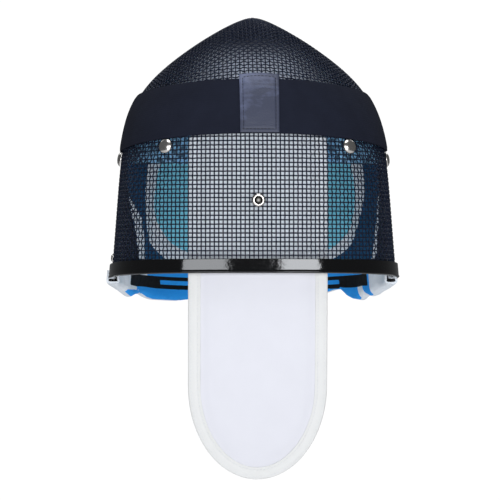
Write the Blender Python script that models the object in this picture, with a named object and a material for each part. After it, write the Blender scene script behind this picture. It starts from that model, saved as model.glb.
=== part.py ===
"""A fencing mask: a dome of wire mesh with its trim, strap, tongue, lining and bib.

Sizes are in millimetres and become metres where a mesh is made.  The dome is worked out
in the rim's own frame: X to the wearer's left as seen from behind (the picture's right),
Y from the back wall (0) towards the face, Z up from the lower edge of the back.  One
empty then carries everything, so that the part's origin is where the crown of the head
touches the inside of the dome.
"""
import math

import bmesh
import bpy
import numpy as np
from mathutils import Matrix, Vector

MM = 0.001

# The dome's outer form
SIDE_Y = 98.0                 # the widest station, where front and back meshes meet
HALF_WIDTH = 100.2            # half the width above the flare
RIM_FLARE = 6.3               # what the lower edge adds to each side
FLARE_HEIGHT = 110.0          # height over which the flare dies out
CHIN_Y = 243.0                # the front ridge at the height of the back's lower edge
CHIN_RAKE = 0.42              # how far the ridge leans back for each millimetre up
CHIN_BEND = 0.0011            # and how that lean grows
BACK_SQUARENESS = 3.1         # exponent of the back's plan curve: 2 is round
FRONT_SQUARENESS = 3.2        # exponent of the front's plan curve
FRONT_VEE = 0.42              # slope of the two faces beside the ridge, in plan
VEE_START = 45.0              # distance over which the ridge's slope builds up
APEX_Z = 195.0                # top of the dome
ROOF_SLOPE = 0.45             # fall of the roof to each side of the ridge
ROOF_BEND = 0.0026            # how that fall steepens further out
ROOF_RADIUS_FRONT = 150.0     # the roof's curve from the widest station to the face
ROOF_RADIUS_BACK = 100.0      # and from there to the back
ROOF_POWER = 9.0              # how tightly roof and walls round into each other
RIDGE_ROUND_FRONT = 3.0       # rounding of the ridge on the face
RIDGE_ROUND_BACK = 40.0       # and at the back, where it has faded out
RIM_SLOPE = 0.061             # the rim drops this much for each millimetre forward

# Walls, gaps and the lower edge
MESH_WALL = 1.8               # two crossing wires
GAP = 0.3                     # clearance between pieces that touch
CURVED_GAP = 0.5              # and between curved faces that are divided differently
EYE_Z = 25.0                  # height of the point the dome is divided from
MESH_EDGE = 2.5               # the meshes end this far above the trim's lower edge

TRIM_HEIGHT = 10.3
TRIM_WALL = 1.6
TRIM_FLOOR = 2.2
TRIM_CORNER = 0.5             # what is cut off its lower corners

# Bands round the dome
GUIDE_HEIGHT = 100.0          # where it is read how far forward a band has run

# Strap and patch
STRAP_LOW = 100.9
STRAP_HIGH = 140.0
STRAP_LOW_FALL = 9.0          # how much lower its edges run at the sides
STRAP_HIGH_FALL = 9.2
STRAP_TURN = 50.0             # where its lower edge has come down, forward of the back
STRAP_WALL = 1.6
STRAP_REACH = 118.0           # degrees to each side of the back's centre line
PATCH_HALF_WIDTH = 13.75
PATCH_LOW = 99.8
PATCH_HIGH = 141.6
PATCH_ARCH = 1.2              # how much lower its top is at its corners
PATCH_WALL = 1.5

# Tongue
TONGUE_HALF_WIDTH = 50.0
TONGUE_TOP = 105.0
TONGUE_ROUND_START = -81.0    # the lower end is half an ellipse from here
TONGUE_BOTTOM = -149.0
TONGUE_CORNER = 14.0
TONGUE_STANDOFF = 5.6         # its middle layer inside the dome's outer face
TRIM_STANDOFF = 6.9           # and where it passes the trim
STANDOFF_START = 24.0         # height where it starts to ease over the trim
STANDOFF_RUN = 12.0           # and the length over which it does
TONGUE_FORWARD = 14.0         # how far the free end leans towards the neck
TONGUE_LEAN_POWER = 1.6       # how late it starts to lean
SPINE_LOW = 60.0              # the panel closes on a line this far above its lower end
SPINE_HIGH = 30.0             # and this far below its top
PANEL_WALL = 3.0
BINDING_WIDTH = 9.0
BINDING_WALL = 0.8
BINDING_CORNER = 0.4          # what is rounded off its outer edge
BINDING_NOSE = 0.6            # share of its thickness at that edge

# Bib and lining
BIB_WALL = 3.0
BIB_OUTSIDE = 4.0             # its middle layer outside the dome's outer face
BIB_INSIDE = 8.0              # and inside it
BIB_HANG = 11.0               # how far the fold hangs below the rim
BIB_END_HANG = 3.2            # and at its two ends
BIB_FOLD_START = 2.6          # the fold turns in this far below the rim
BIB_FOLD_SHARE = 0.72         # share of the hang that the turn itself takes
BIB_COLLAR = 7.5              # how far up the outside of the trim it starts
BIB_FOOT = 2.0                # its straight parts start this far above the rim
BIB_END_TOP = 3.0             # height of its inner edge at the ends
BIB_REACH = 86.0              # degrees to each side of the face's centre line
BIB_TUCK_REACH = 66.0         # where the tucked part is still at full height
BIB_END_FADE = 12.0           # degrees over which the fold fills out from an end
BIB_TUCK_START = 4.0          # degrees from an end where the tucked part starts to rise
BIB_TOP_GAP = 5.5             # below the lining, whose inner edge leans down in front
LINING_WALL = 6.0
LINING_LOW = 79.0
LINING_HIGH = 117.0
LINING_RISE = 0.04            # how much higher it runs for each millimetre forward
LINING_END_X = 58.0           # its rear ends lie this far from the centre line
LINING_END_Y = 12.0           # and this far forward of the back wall
FOREHEAD_WALL = 1.6           # thin cloth that lines the face above the band
FOREHEAD_INSET = 3.2          # its outer face inside the dome's outer face
FOREHEAD_TOP = 190.0
FOREHEAD_RISE = 1.5           # it starts this far above the band
FOREHEAD_REACH = 94.0         # degrees to each side of the face's centre line

# Fasteners
RIVET_RADIUS = 5.5
RIVET_HEIGHT = 2.6
RIVET_SHANK = 1.5
RIVET_TAIL = 3.2
TAIL_WALL = 0.7
TAIL_GAP = 0.9
RIVET_HEAD = [(0.45, 0.92), (0.8, 0.62), (1.0, 0.22)]   # shares of radius and height
BACK_RIVET = (66.0, 91.0)     # distance from the centre line, height
SIDE_RIVET = (80.0, 84.3)     # distance forward, height
RIM_RIVET = (92.0, 10.5)
RIM_RIVET_SCALE = 0.55
BOLT_HEIGHT = 51.9
BOLT_RADIUS = 5.0
BOLT_SHANK = 2.0
BOLT_HEAD = [(0.0, 0.6), (2.2, 0.6), (2.6, 2.6), (3.6, 3.0), (4.6, 2.2), (5.0, 0.9)]  # radius, height
NUT_HEIGHT = 2.0
HOLE_DEPTH = 11.0             # how far a cut for a shank reaches to each side

# How finely the dome is divided
ROUND_STEPS = 36              # half turns of the dome
RISE_STEPS = 15
ROUND_SIDES = 10              # sides of a turned piece


def ridge_distance(x, y):
    """Distance from the centre plane, rounded off where the ridge has faded."""
    fade = np.clip((SIDE_Y + 15.0 - y) / 90.0, 0.0, 1.0)
    rounding = RIDGE_ROUND_FRONT + (RIDGE_ROUND_BACK - RIDGE_ROUND_FRONT) * fade
    return np.sqrt(x * x + rounding * rounding) - RIDGE_ROUND_FRONT


def half_width(z):
    left = np.clip(1.0 - z / FLARE_HEIGHT, 0.0, 1.3)
    return HALF_WIDTH + RIM_FLARE * left ** 1.5


def wall_measure(x, y, z):
    """1 on the upright walls, less inside them."""
    side = np.abs(x) / half_width(z)
    ahead = np.maximum(y - SIDE_Y, 0.0)
    behind = np.maximum(SIDE_Y - y, 0.0)
    back = (side ** BACK_SQUARENESS + (behind / SIDE_Y) ** BACK_SQUARENESS) ** (1 / BACK_SQUARENESS)
    ease = np.clip(ahead / VEE_START, 0.0, 1.0)
    ease = ease * ease * (3 - 2 * ease)
    ridge_y = CHIN_Y - (CHIN_RAKE + CHIN_BEND * z) * z
    reach = np.maximum(ridge_y - SIDE_Y, 10.0)
    face = (ahead + FRONT_VEE * ease * ridge_distance(x, y)) / reach
    front = (side ** FRONT_SQUARENESS + face ** FRONT_SQUARENESS) ** (1 / FRONT_SQUARENESS)
    return np.where(y < SIDE_Y, back, front)


def roof_measure(x, y, z):
    """1 on the roof, less below it."""
    roof = APEX_Z - ROOF_SLOPE * ridge_distance(x, y) - ROOF_BEND * x * x
    radius = np.where(y < SIDE_Y, ROOF_RADIUS_BACK, ROOF_RADIUS_FRONT)
    roof = roof - (y - SIDE_Y) ** 2 / (2 * radius)
    return np.maximum(1.0 + (z - roof) / APEX_Z, 0.0)


def form_measure(point):
    """1 on the dome's outer face, less inside it; point is an array ending in x, y, z."""
    x, y, z = point[..., 0], point[..., 1], point[..., 2]
    return (wall_measure(x, y, z) ** ROOF_POWER + roof_measure(x, y, z) ** ROOF_POWER) ** (1 / ROOF_POWER)


def normals(points, flat=False, keep_y=False):
    """Outward unit normals; flat ones are level, keep_y ones stay in their frontal plane."""
    step = 0.05
    slope = np.zeros_like(points)
    for axis in range(3):
        shift = np.zeros(3)
        shift[axis] = step
        slope[..., axis] = form_measure(points + shift) - form_measure(points - shift)
    if flat:
        slope[..., 2] = 0.0
    if keep_y:
        slope[..., 1] = 0.0
    return slope / np.linalg.norm(slope, axis=-1, keepdims=True)


def cast(start, direction):
    """Where rays from inside the dome meet its outer face."""
    near = np.zeros(direction.shape[:-1])
    far = np.full(direction.shape[:-1], 320.0)
    for _ in range(44):
        middle = (near + far) / 2
        inside = form_measure(start + direction * middle[..., None]) < 1.0
        near = np.where(inside, middle, near)
        far = np.where(inside, far, middle)
    return start + direction * far[..., None]


def compass(angle):
    """Level unit vectors; 0 is the picture's right and 90 the face."""
    angle = np.radians(angle)
    return np.stack([np.cos(angle), np.sin(angle), np.zeros_like(angle)], axis=-1)


def at_height(angle, height):
    """Points on the outer face, seen level from the dome's upright axis."""
    angle, height = np.broadcast_arrays(np.asarray(angle, float), np.asarray(height, float))
    start = np.zeros(angle.shape + (3,))
    start[..., 1] = SIDE_Y
    start[..., 2] = height
    return cast(start, compass(angle))


def above_rim(angle, rise, axis_y=SIDE_Y):
    """Points on the outer face at a given height above the sloping rim plane."""
    angle, rise = np.broadcast_arrays(np.asarray(angle, float), np.asarray(rise, float))
    start = np.zeros(angle.shape + (3,))
    start[..., 1] = axis_y
    start[..., 2] = rise - RIM_SLOPE * axis_y
    direction = compass(angle)
    direction[..., 2] = -RIM_SLOPE * direction[..., 1]
    return cast(start, direction)


def set_off(points, distance, **how):
    return points + normals(points, **how) * np.asarray(distance, float)[..., None]


def smooth(value):
    value = np.clip(value, 0.0, 1.0)
    return value * value * (3 - 2 * value)


# ---------------------------------------------------------------- making objects

def material(name, colour, roughness, metallic=0.0):
    made = bpy.data.materials.new(name)
    made.use_nodes = True
    shader = made.node_tree.nodes["Principled BSDF"]
    shader.inputs["Base Color"].default_value = (*colour, 1.0)
    shader.inputs["Roughness"].default_value = roughness
    shader.inputs["Metallic"].default_value = metallic
    return made


def add_object(name, vertices, faces, finish, carrier):
    """A closed solid from points in millimetres, its faces turned outwards."""
    mesh = bpy.data.meshes.new(name)
    mesh.from_pydata([tuple(p * MM for p in vertex) for vertex in vertices], [], faces)
    body = bmesh.new()
    body.from_mesh(mesh)
    bmesh.ops.remove_doubles(body, verts=body.verts, dist=0.00002)
    bmesh.ops.recalc_face_normals(body, faces=body.faces)
    if body.calc_volume(signed=True) < 0:
        bmesh.ops.reverse_faces(body, faces=body.faces)
    body.to_mesh(mesh)
    body.free()
    mesh.materials.append(finish)
    mesh.shade_smooth()
    mesh.set_sharp_from_angle(angle=math.radians(35))
    made = bpy.data.objects.new(name, mesh)
    made.parent = carrier
    bpy.context.collection.objects.link(made)
    return made


def wall_between(outer, inner):
    """Vertices and faces of the solid between two grids of points of the same shape."""
    rows, columns = outer.shape[:2]
    vertices = [*outer.reshape(-1, 3), *inner.reshape(-1, 3)]
    layer = rows * columns
    faces = []
    for row in range(rows - 1):
        for column in range(columns - 1):
            corner = row * columns + column
            quad = [corner, corner + 1, corner + columns + 1, corner + columns]
            faces.append(quad)
            faces.append([layer + number for number in reversed(quad)])
    top = (rows - 1) * columns
    for column in range(columns - 1):
        faces.append([column + 1, column, layer + column, layer + column + 1])
        faces.append([top + column, top + column + 1, layer + top + column + 1, layer + top + column])
    for row in range(rows - 1):
        left = row * columns
        right = left + columns - 1
        faces.append([left, left + columns, layer + left + columns, layer + left])
        faces.append([right + columns, right, layer + right, layer + right + columns])
    return vertices, faces


def swept(sections, closed):
    """Vertices and faces of a profile that runs through sections, one row for each."""
    count, points = sections.shape[:2]
    vertices = list(sections.reshape(-1, 3))
    faces = []
    for number in range(count if closed else count - 1):
        here = number * points
        there = ((number + 1) % count) * points
        for point in range(points):
            after = (point + 1) % points
            faces.append([here + point, here + after, there + after, there + point])
    if not closed:
        faces.append(list(range(points)))
        faces.append(list(range((count - 1) * points, count * points)))
    return vertices, faces


def turned(profile, sides=ROUND_SIDES):
    """Vertices and faces of a profile of (radius, height) turned about Z."""
    vertices, faces = [], []
    rings = []
    for radius, height in profile:
        if radius == 0:
            rings.append([len(vertices)] * sides)
            vertices.append((0.0, 0.0, height))
            continue
        rings.append(list(range(len(vertices), len(vertices) + sides)))
        for side in range(sides):
            turn = 2 * math.pi * side / sides
            vertices.append((radius * math.cos(turn), radius * math.sin(turn), height))
    for below, above in zip(rings, rings[1:]):
        for side in range(sides):
            after = (side + 1) % sides
            corners = [below[side], below[after], above[after], above[side]]
            faces.append(list(dict.fromkeys(corners)))
    return vertices, faces


def placement(point, direction):
    """The matrix that stands a turned piece on a point, its axis along a direction."""
    turn = Vector(direction).to_track_quat("Z", "Y").to_matrix().to_4x4()
    return Matrix.Translation(Vector(point)) @ turn


def placed(vertices, matrix):
    return [tuple(matrix @ Vector(vertex)) for vertex in vertices]


# ---------------------------------------------------------------- the wire dome

def dome_half(facing):
    """The outer and inner grids of the front (+1) or back (-1) half of the dome."""
    axis_y = SIDE_Y + facing * GAP / 2
    angles = facing * np.linspace(0.0, 180.0, ROUND_STEPS + 1)
    edge = above_rim(angles, MESH_EDGE, axis_y)
    centre = np.array([0.0, axis_y, EYE_Z])
    spread = edge - centre
    lowest = np.arctan2(spread[:, 2], np.linalg.norm(spread[:, :2], axis=1))
    share = np.linspace(0.0, 1.0, RISE_STEPS + 1)[:, None]
    climb = lowest + (math.pi / 2 - lowest) * share
    direction = compass(angles) * np.cos(climb)[..., None]
    direction[..., 2] = np.sin(climb)
    outer = cast(centre, direction)
    outer[0] = edge
    inward = normals(outer)
    inward[0] = normals(edge, flat=True)
    inward[:, 0] = normals(outer[:, 0], keep_y=True)
    inward[:, -1] = normals(outer[:, -1], keep_y=True)
    inward[0, 0] = (1.0, 0.0, 0.0)
    inward[0, -1] = (-1.0, 0.0, 0.0)
    inward[-1] = (0.0, 0.0, 1.0)
    return outer, outer - inward * MESH_WALL


def make_meshes(finish, carrier, fasteners):
    for name, facing in (("front_mesh", 1), ("back_mesh", -1)):
        outer, inner = dome_half(facing)
        half = add_object(name, *wall_between(outer, inner), finish, carrier)
        for fastener in fasteners:
            if (fastener["point"][1] - SIDE_Y) * facing > 0:
                cut_hole(half, fastener, carrier)


def cut_hole(wall, fastener, carrier):
    """A Boolean cut for a fastener's shank."""
    radius = fastener["shank"] + GAP
    profile = [(0, -HOLE_DEPTH), (radius, -HOLE_DEPTH), (radius, HOLE_DEPTH), (0, HOLE_DEPTH)]
    vertices, faces = turned(profile)
    vertices = placed(vertices, placement(fastener["point"], fastener["normal"]))
    name = "cut_" + fastener["name"] + "_" + wall.name
    cutter = add_object(name, vertices, faces, wall.data.materials[0], carrier)
    cutter.hide_render = True
    cutter.display_type = "WIRE"
    cut = wall.modifiers.new("shank", "BOOLEAN")
    cut.operation = "DIFFERENCE"
    cut.object = cutter


def make_trim(finish, carrier):
    """The binding is a U over the lower edge of both meshes."""
    outside = GAP + TRIM_WALL
    inside = -MESH_WALL - GAP - TRIM_WALL
    profile = [
        (outside - TRIM_CORNER, 0.0), (outside, TRIM_CORNER), (outside, TRIM_HEIGHT),
        (GAP, TRIM_HEIGHT), (GAP, TRIM_FLOOR),
        (-MESH_WALL - GAP, TRIM_FLOOR), (-MESH_WALL - GAP, TRIM_HEIGHT),
        (inside, TRIM_HEIGHT), (inside, TRIM_CORNER), (inside + TRIM_CORNER, 0.0),
    ]
    steps = 2 * ROUND_STEPS
    angles = np.arange(steps) * 360.0 / steps
    rings = [set_off(above_rim(angles, rise), np.full(steps, away), flat=True) for away, rise in profile]
    add_object("rim_trim", *swept(np.stack(rings, axis=1), True), finish, carrier)


# ---------------------------------------------------------------- strap and patch

def strap_edges(forward):
    """Heights of the strap's two edges this far forward of the back wall."""
    low = STRAP_LOW - STRAP_LOW_FALL * smooth(forward / STRAP_TURN)
    return low, STRAP_HIGH - STRAP_HIGH_FALL * np.sqrt(np.maximum(forward, 0.0) / SIDE_Y)


def band(angles, edges, inner, outer, rows):
    """A curved wall on the dome between two edges, at two distances off its outer face."""
    guide = at_height(angles, np.full(len(angles), GUIDE_HEIGHT))
    low, high = edges(guide[:, 1])
    share = np.linspace(0.0, 1.0, rows)[:, None]
    points = at_height(angles[None, :], low + (high - low) * share)
    return (set_off(points, np.full(points.shape[:2], outer)),
            set_off(points, np.full(points.shape[:2], inner)))


def make_strap(finish, carrier):
    angles = np.linspace(-90 - STRAP_REACH, -90 + STRAP_REACH, 45)
    walls = band(angles, strap_edges, CURVED_GAP, CURVED_GAP + STRAP_WALL, 5)
    add_object("head_strap", *wall_between(*walls), finish, carrier)


def make_patch(finish, carrier):
    """A leather plate over the strap; its top edge is slightly arched."""
    rows, columns = 9, 7
    across = np.linspace(-1.0, 1.0, columns)
    share = np.linspace(0.0, 1.0, rows)[:, None]
    high = PATCH_HIGH - PATCH_ARCH * across ** 2
    height = PATCH_LOW + (high - PATCH_LOW) * share
    x = np.broadcast_to(across * PATCH_HALF_WIDTH, height.shape)
    start = np.stack([x, np.full(height.shape, SIDE_Y), height], axis=-1)
    points = cast(start, np.broadcast_to(np.array([0.0, -1.0, 0.0]), start.shape))
    inner = 2 * CURVED_GAP + STRAP_WALL
    walls = (set_off(points, np.full(height.shape, inner + PATCH_WALL)),
             set_off(points, np.full(height.shape, inner)))
    add_object("strap_patch", *wall_between(*walls), finish, carrier)


# ---------------------------------------------------------------- tongue

def tongue_surface(x, z):
    """Middle layer of the tongue: bent like the back wall, leaning in below the rim."""
    start = np.stack([x, np.full_like(x, SIDE_Y), np.maximum(z, 0.0)], axis=-1)
    wall = cast(start, np.broadcast_to(np.array([0.0, -1.0, 0.0]), start.shape))[..., 1]
    below = np.clip(z / TONGUE_BOTTOM, 0.0, 1.0)
    ease = smooth((STANDOFF_START - z) / STANDOFF_RUN)
    away = TONGUE_STANDOFF + (TRIM_STANDOFF - TONGUE_STANDOFF) * ease
    return np.stack([x, wall + away + TONGUE_FORWARD * below ** TONGUE_LEAN_POWER, z], axis=-1)


def tongue_layer(x, z, height):
    """Points a given height in front of the middle layer, towards the back wall."""
    step = 0.5
    across = tongue_surface(x + step, z) - tongue_surface(x - step, z)
    along = tongue_surface(x, z + step) - tongue_surface(x, z - step)
    facing = np.cross(across, along)
    facing = facing / np.linalg.norm(facing, axis=-1, keepdims=True)
    return tongue_surface(x, z) + facing * np.asarray(height, float)[..., None]


def tongue_outline():
    """The tongue's edge in (x, z), once round, starting at the top centre."""
    drop = TONGUE_ROUND_START - TONGUE_BOTTOM
    right = [(0.0, TONGUE_TOP), ((TONGUE_HALF_WIDTH - TONGUE_CORNER) / 2, TONGUE_TOP)]
    for turn in np.radians(np.linspace(90.0, 0.0, 5)):
        right.append((TONGUE_HALF_WIDTH - TONGUE_CORNER * (1 - math.cos(turn)),
                      TONGUE_TOP - TONGUE_CORNER * (1 - math.sin(turn))))
    straight = np.linspace(TONGUE_TOP - TONGUE_CORNER, TONGUE_ROUND_START, 13)[1:-1]
    right.extend((TONGUE_HALF_WIDTH, height) for height in straight)
    for turn in np.radians(np.linspace(0.0, 90.0, 13)):
        right.append((TONGUE_HALF_WIDTH * math.cos(turn), TONGUE_ROUND_START - drop * math.sin(turn)))
    left = [(-x, z) for x, z in reversed(right[1:-1])]
    return np.array(right + left)


def inset(outline, distance):
    """A closed outline moved inwards, along the normals at its points."""
    along = np.roll(outline, -1, axis=0) - np.roll(outline, 1, axis=0)
    inward = np.stack([along[:, 1], -along[:, 0]], axis=-1)
    inward = inward / np.linalg.norm(inward, axis=-1, keepdims=True)
    return outline + inward * distance


def make_tongue(panel_finish, binding_finish, carrier, bolt):
    outline = tongue_outline()
    half = PANEL_WALL / 2
    # panel: its edge, the line where the binding ends, then rings that shrink to its spine
    covered = inset(outline, BINDING_WIDTH)
    spine = np.clip(outline, (0.0, TONGUE_BOTTOM + SPINE_LOW), (0.0, TONGUE_TOP - SPINE_HIGH))
    rings = [inset(outline, BINDING_WALL + GAP), covered, covered + (spine - covered) * 0.5, spine]
    levels = [(ring, half) for ring in reversed(rings)] + [(ring, -half) for ring in rings]
    layers = [tongue_layer(ring[:, 0], ring[:, 1], np.full(len(ring), height)) for ring, height in levels]
    vertices, faces = swept(np.stack(layers), False)
    faces = faces[:-2]
    panel = add_object("tongue_panel", vertices, faces, panel_finish, carrier)
    cut_hole(panel, bolt, carrier)
    # binding: a U over the panel's edge
    outer = half + GAP + BINDING_WALL
    inner = half + GAP
    front = [(0.0, outer * BINDING_NOSE), (BINDING_CORNER, outer), (BINDING_WIDTH, outer),
             (BINDING_WIDTH, inner), (BINDING_WALL, inner)]
    profile = front + [(distance, -height) for distance, height in reversed(front)]
    layers = []
    for distance, height in profile:
        ring = inset(outline, distance)
        layers.append(tongue_layer(ring[:, 0], ring[:, 1], np.full(len(ring), height)))
    add_object("tongue_binding", *swept(np.stack(layers, axis=1), True), binding_finish, carrier)


# ---------------------------------------------------------------- lining and bib

def lining_edges(forward):
    return LINING_LOW + LINING_RISE * forward, LINING_HIGH + LINING_RISE * forward


def make_lining(finish, carrier):
    """A padded band from one back rivet round the front to the other."""
    end = math.degrees(math.atan2(LINING_END_X, SIDE_Y - LINING_END_Y))
    angles = np.linspace(-90 + end, 270 - end, 53)
    near = MESH_WALL + TAIL_GAP + TAIL_WALL + GAP
    walls = band(angles, lining_edges, -near - LINING_WALL, -near, 4)
    add_object("lining_band", *wall_between(*walls), finish, carrier)


def bib_section(angle):
    """Middle line of the bib at one angle: (distance off the dome's outer face, height
    above the rim plane), from its collar outside the trim, under the rim and up inside."""
    away = abs(angle - 90.0)
    fullness = float(smooth((BIB_REACH - away) / BIB_END_FADE))
    tuck_end = BIB_REACH - BIB_TUCK_START
    tuck = float(smooth((tuck_end - away) / (tuck_end - BIB_TUCK_REACH)))
    hang = BIB_END_HANG + (BIB_HANG - BIB_END_HANG) * fullness
    forward = float(at_height(angle, GUIDE_HEIGHT)[1])
    full_top = lining_edges(forward)[0] - BIB_TOP_GAP + RIM_SLOPE * forward
    top = BIB_END_TOP + (full_top - BIB_END_TOP) * tuck
    middle = (BIB_OUTSIDE - BIB_INSIDE) / 2
    swing = (BIB_OUTSIDE + BIB_INSIDE) / 2
    rows = [(BIB_OUTSIDE, BIB_COLLAR), (BIB_OUTSIDE, BIB_FOOT)]
    for turn in np.radians(np.linspace(0.0, 180.0, 6)):
        drop = (hang - BIB_WALL / 2) * math.sin(turn) * BIB_FOLD_SHARE
        rows.append((middle + swing * math.cos(turn), -BIB_FOLD_START - drop))
    rows += [(-BIB_INSIDE, BIB_FOOT + (top - BIB_FOOT) * share) for share in (0.0, 0.2, 0.45, 0.7, 1.0)]
    return np.array(rows)


def forehead_edges(forward):
    low = lining_edges(forward)[1] + FOREHEAD_RISE
    return low, np.full_like(low, FOREHEAD_TOP)


def make_forehead(finish, carrier):
    """Thin cloth inside the face, from the padded band up to the crown."""
    angles = np.linspace(90 - FOREHEAD_REACH, 90 + FOREHEAD_REACH, 33)
    walls = band(angles, forehead_edges, -FOREHEAD_INSET - FOREHEAD_WALL, -FOREHEAD_INSET, 17)
    add_object("forehead_lining", *wall_between(*walls), finish, carrier)


def make_bib(finish, carrier):
    angles = np.linspace(90 - BIB_REACH, 90 + BIB_REACH, 35)
    outer, inner = [], []
    for angle in angles:
        section = bib_section(angle)
        along = np.gradient(section, axis=0)
        across = np.stack([-along[:, 1], along[:, 0]], axis=-1)
        across = across / np.linalg.norm(across, axis=-1, keepdims=True)
        for grid, side in ((outer, -0.5), (inner, 0.5)):
            layer = section + across * BIB_WALL * side
            foot = above_rim(np.full(len(layer), angle), np.maximum(layer[:, 1], 0.0))
            points = set_off(foot, layer[:, 0], flat=True)
            points[:, 2] += np.minimum(layer[:, 1], 0.0)
            grid.append(points)
    add_object("bib", *wall_between(np.array(outer), np.array(inner)), finish, carrier)


# ---------------------------------------------------------------- fasteners

def fastener(name, point, scale=1.0):
    point = np.array(point)
    shank = RIVET_SHANK * scale
    return {"name": name, "point": point, "normal": normals(point), "shank": shank, "scale": scale}


def fastener_places():
    """Every rivet, left and right, with its point on the outer face."""
    places = []
    flanks = (("side", SIDE_RIVET, 1.0), ("rim", RIM_RIVET, RIM_RIVET_SCALE))
    for side, label in ((-1, "left"), (1, "right")):
        x, height = BACK_RIVET
        start = np.array([side * x, SIDE_Y, height])
        places.append(fastener("back_rivet_" + label, cast(start, np.array([0.0, -1.0, 0.0]))))
        for kind, (forward, height), scale in flanks:
            start = np.array([0.0, forward, height])
            point = cast(start, np.array([float(side), 0.0, 0.0]))
            places.append(fastener(kind + "_rivet_" + label, point, scale))
    return places


def make_rivet(place, finish, carrier):
    """A domed head outside, a shank through the wire and a flat tail inside."""
    scale = place["scale"]
    tail = -MESH_WALL - TAIL_GAP
    head = [(0.0, 1.0)] + RIVET_HEAD
    profile = [(RIVET_RADIUS * scale * out, GAP + RIVET_HEIGHT * scale * up) for out, up in head]
    profile += [(RIVET_RADIUS * scale, GAP), (place["shank"], GAP), (place["shank"], tail),
                (RIVET_TAIL * scale, tail), (RIVET_TAIL * scale, tail - TAIL_WALL), (0.0, tail - TAIL_WALL)]
    vertices, faces = turned(profile)
    vertices = placed(vertices, placement(place["point"], place["normal"]))
    add_object(place["name"], vertices, faces, finish, carrier)


def bolt_place():
    start = np.array([0.0, SIDE_Y, BOLT_HEIGHT])
    place = fastener("tongue_bolt", cast(start, np.array([0.0, -1.0, 0.0])))
    place["shank"] = BOLT_SHANK
    place["normal"] = np.array([0.0, -1.0, 0.0])
    return place


def make_bolt(place, finish, carrier):
    """A ring head with a deep socket, through the mesh and the tongue to a flat nut."""
    far = TONGUE_STANDOFF + PANEL_WALL / 2 + TAIL_GAP
    profile = BOLT_HEAD + [
        (BOLT_RADIUS, GAP), (place["shank"], GAP), (place["shank"], -far),
        (BOLT_RADIUS, -far), (BOLT_RADIUS, -far - NUT_HEIGHT), (0.0, -far - NUT_HEIGHT)]
    vertices, faces = turned(profile, 16)
    vertices = placed(vertices, placement(place["point"], place["normal"]))
    add_object("tongue_bolt", vertices, faces, finish, carrier)


def clear_scene():
    for old in list(bpy.data.objects):
        bpy.data.objects.remove(old, do_unlink=True)


def main():
    clear_scene()
    crown = bpy.data.objects.new("crown", None)
    crown.location = (0.0, -SIDE_Y * MM, -(APEX_Z - MESH_WALL) * MM)
    bpy.context.collection.objects.link(crown)

    wire = material("painted_wire", (0.012, 0.014, 0.022), 0.4, 0.3)
    vinyl = material("black_vinyl", (0.008, 0.008, 0.010), 0.16)
    elastic = material("dark_elastic", (0.012, 0.014, 0.024), 0.85)
    leatherette = material("leatherette", (0.055, 0.06, 0.085), 0.45)
    white_cloth = material("white_cloth", (0.79, 0.82, 0.91), 0.75)
    off_white = material("off_white_binding", (0.83, 0.83, 0.80), 0.8)
    navy = material("navy_padding", (0.012, 0.05, 0.13), 0.9)
    teal = material("bib_cloth", (0.02, 0.26, 0.38), 0.85)
    chrome = material("chrome", (0.75, 0.75, 0.77), 0.15, 1.0)

    rivets = fastener_places()
    bolt = bolt_place()
    make_meshes(wire, crown, rivets + [bolt])
    make_trim(vinyl, crown)
    make_strap(elastic, crown)
    make_patch(leatherette, crown)
    make_tongue(white_cloth, off_white, crown, bolt)
    make_lining(navy, crown)
    make_forehead(navy, crown)
    make_bib(teal, crown)
    for place in rivets:
        make_rivet(place, chrome, crown)
    make_bolt(bolt, chrome, crown)


main()
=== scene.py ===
"""Dresses the fencing mask: woven wire, glossy trim, elastic strap, cloth tongue and bib.

Forms are worked out in the rim's frame, in millimetres: X to the picture's right, Y from
the back wall (0) towards the face, Z up from the trim's lower edge at the back.  to_row()
turns them into the row's frame, in metres.
"""
import math

import bmesh
import bpy
import numpy as np
from bpy.props import FloatProperty, FloatVectorProperty, IntProperty, PointerProperty
from mathutils import Matrix, Vector


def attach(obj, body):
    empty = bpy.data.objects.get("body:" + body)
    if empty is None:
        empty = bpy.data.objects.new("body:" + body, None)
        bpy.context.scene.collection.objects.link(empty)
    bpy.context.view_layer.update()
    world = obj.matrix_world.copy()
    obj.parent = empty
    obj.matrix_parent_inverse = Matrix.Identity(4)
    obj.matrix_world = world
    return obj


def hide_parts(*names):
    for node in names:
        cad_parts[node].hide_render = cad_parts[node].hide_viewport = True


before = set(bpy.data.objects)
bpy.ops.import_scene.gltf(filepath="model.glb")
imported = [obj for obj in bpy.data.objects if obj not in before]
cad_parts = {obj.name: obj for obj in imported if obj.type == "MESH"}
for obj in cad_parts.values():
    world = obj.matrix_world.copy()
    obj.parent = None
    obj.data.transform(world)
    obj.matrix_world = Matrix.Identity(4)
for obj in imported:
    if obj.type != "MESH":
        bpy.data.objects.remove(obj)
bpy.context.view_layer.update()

bl_info = {
    "name": "Fencing Mask Dressing",
    "version": (1, 0, 0),
    "blender": (4, 5, 0),
    "location": "View3D > Sidebar > Mask",
    "description": "Wire cloth, trim, strap, tongue, lining, bib and fittings of a fencing mask",
    "category": "Object",
}

MM = 0.001

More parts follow.
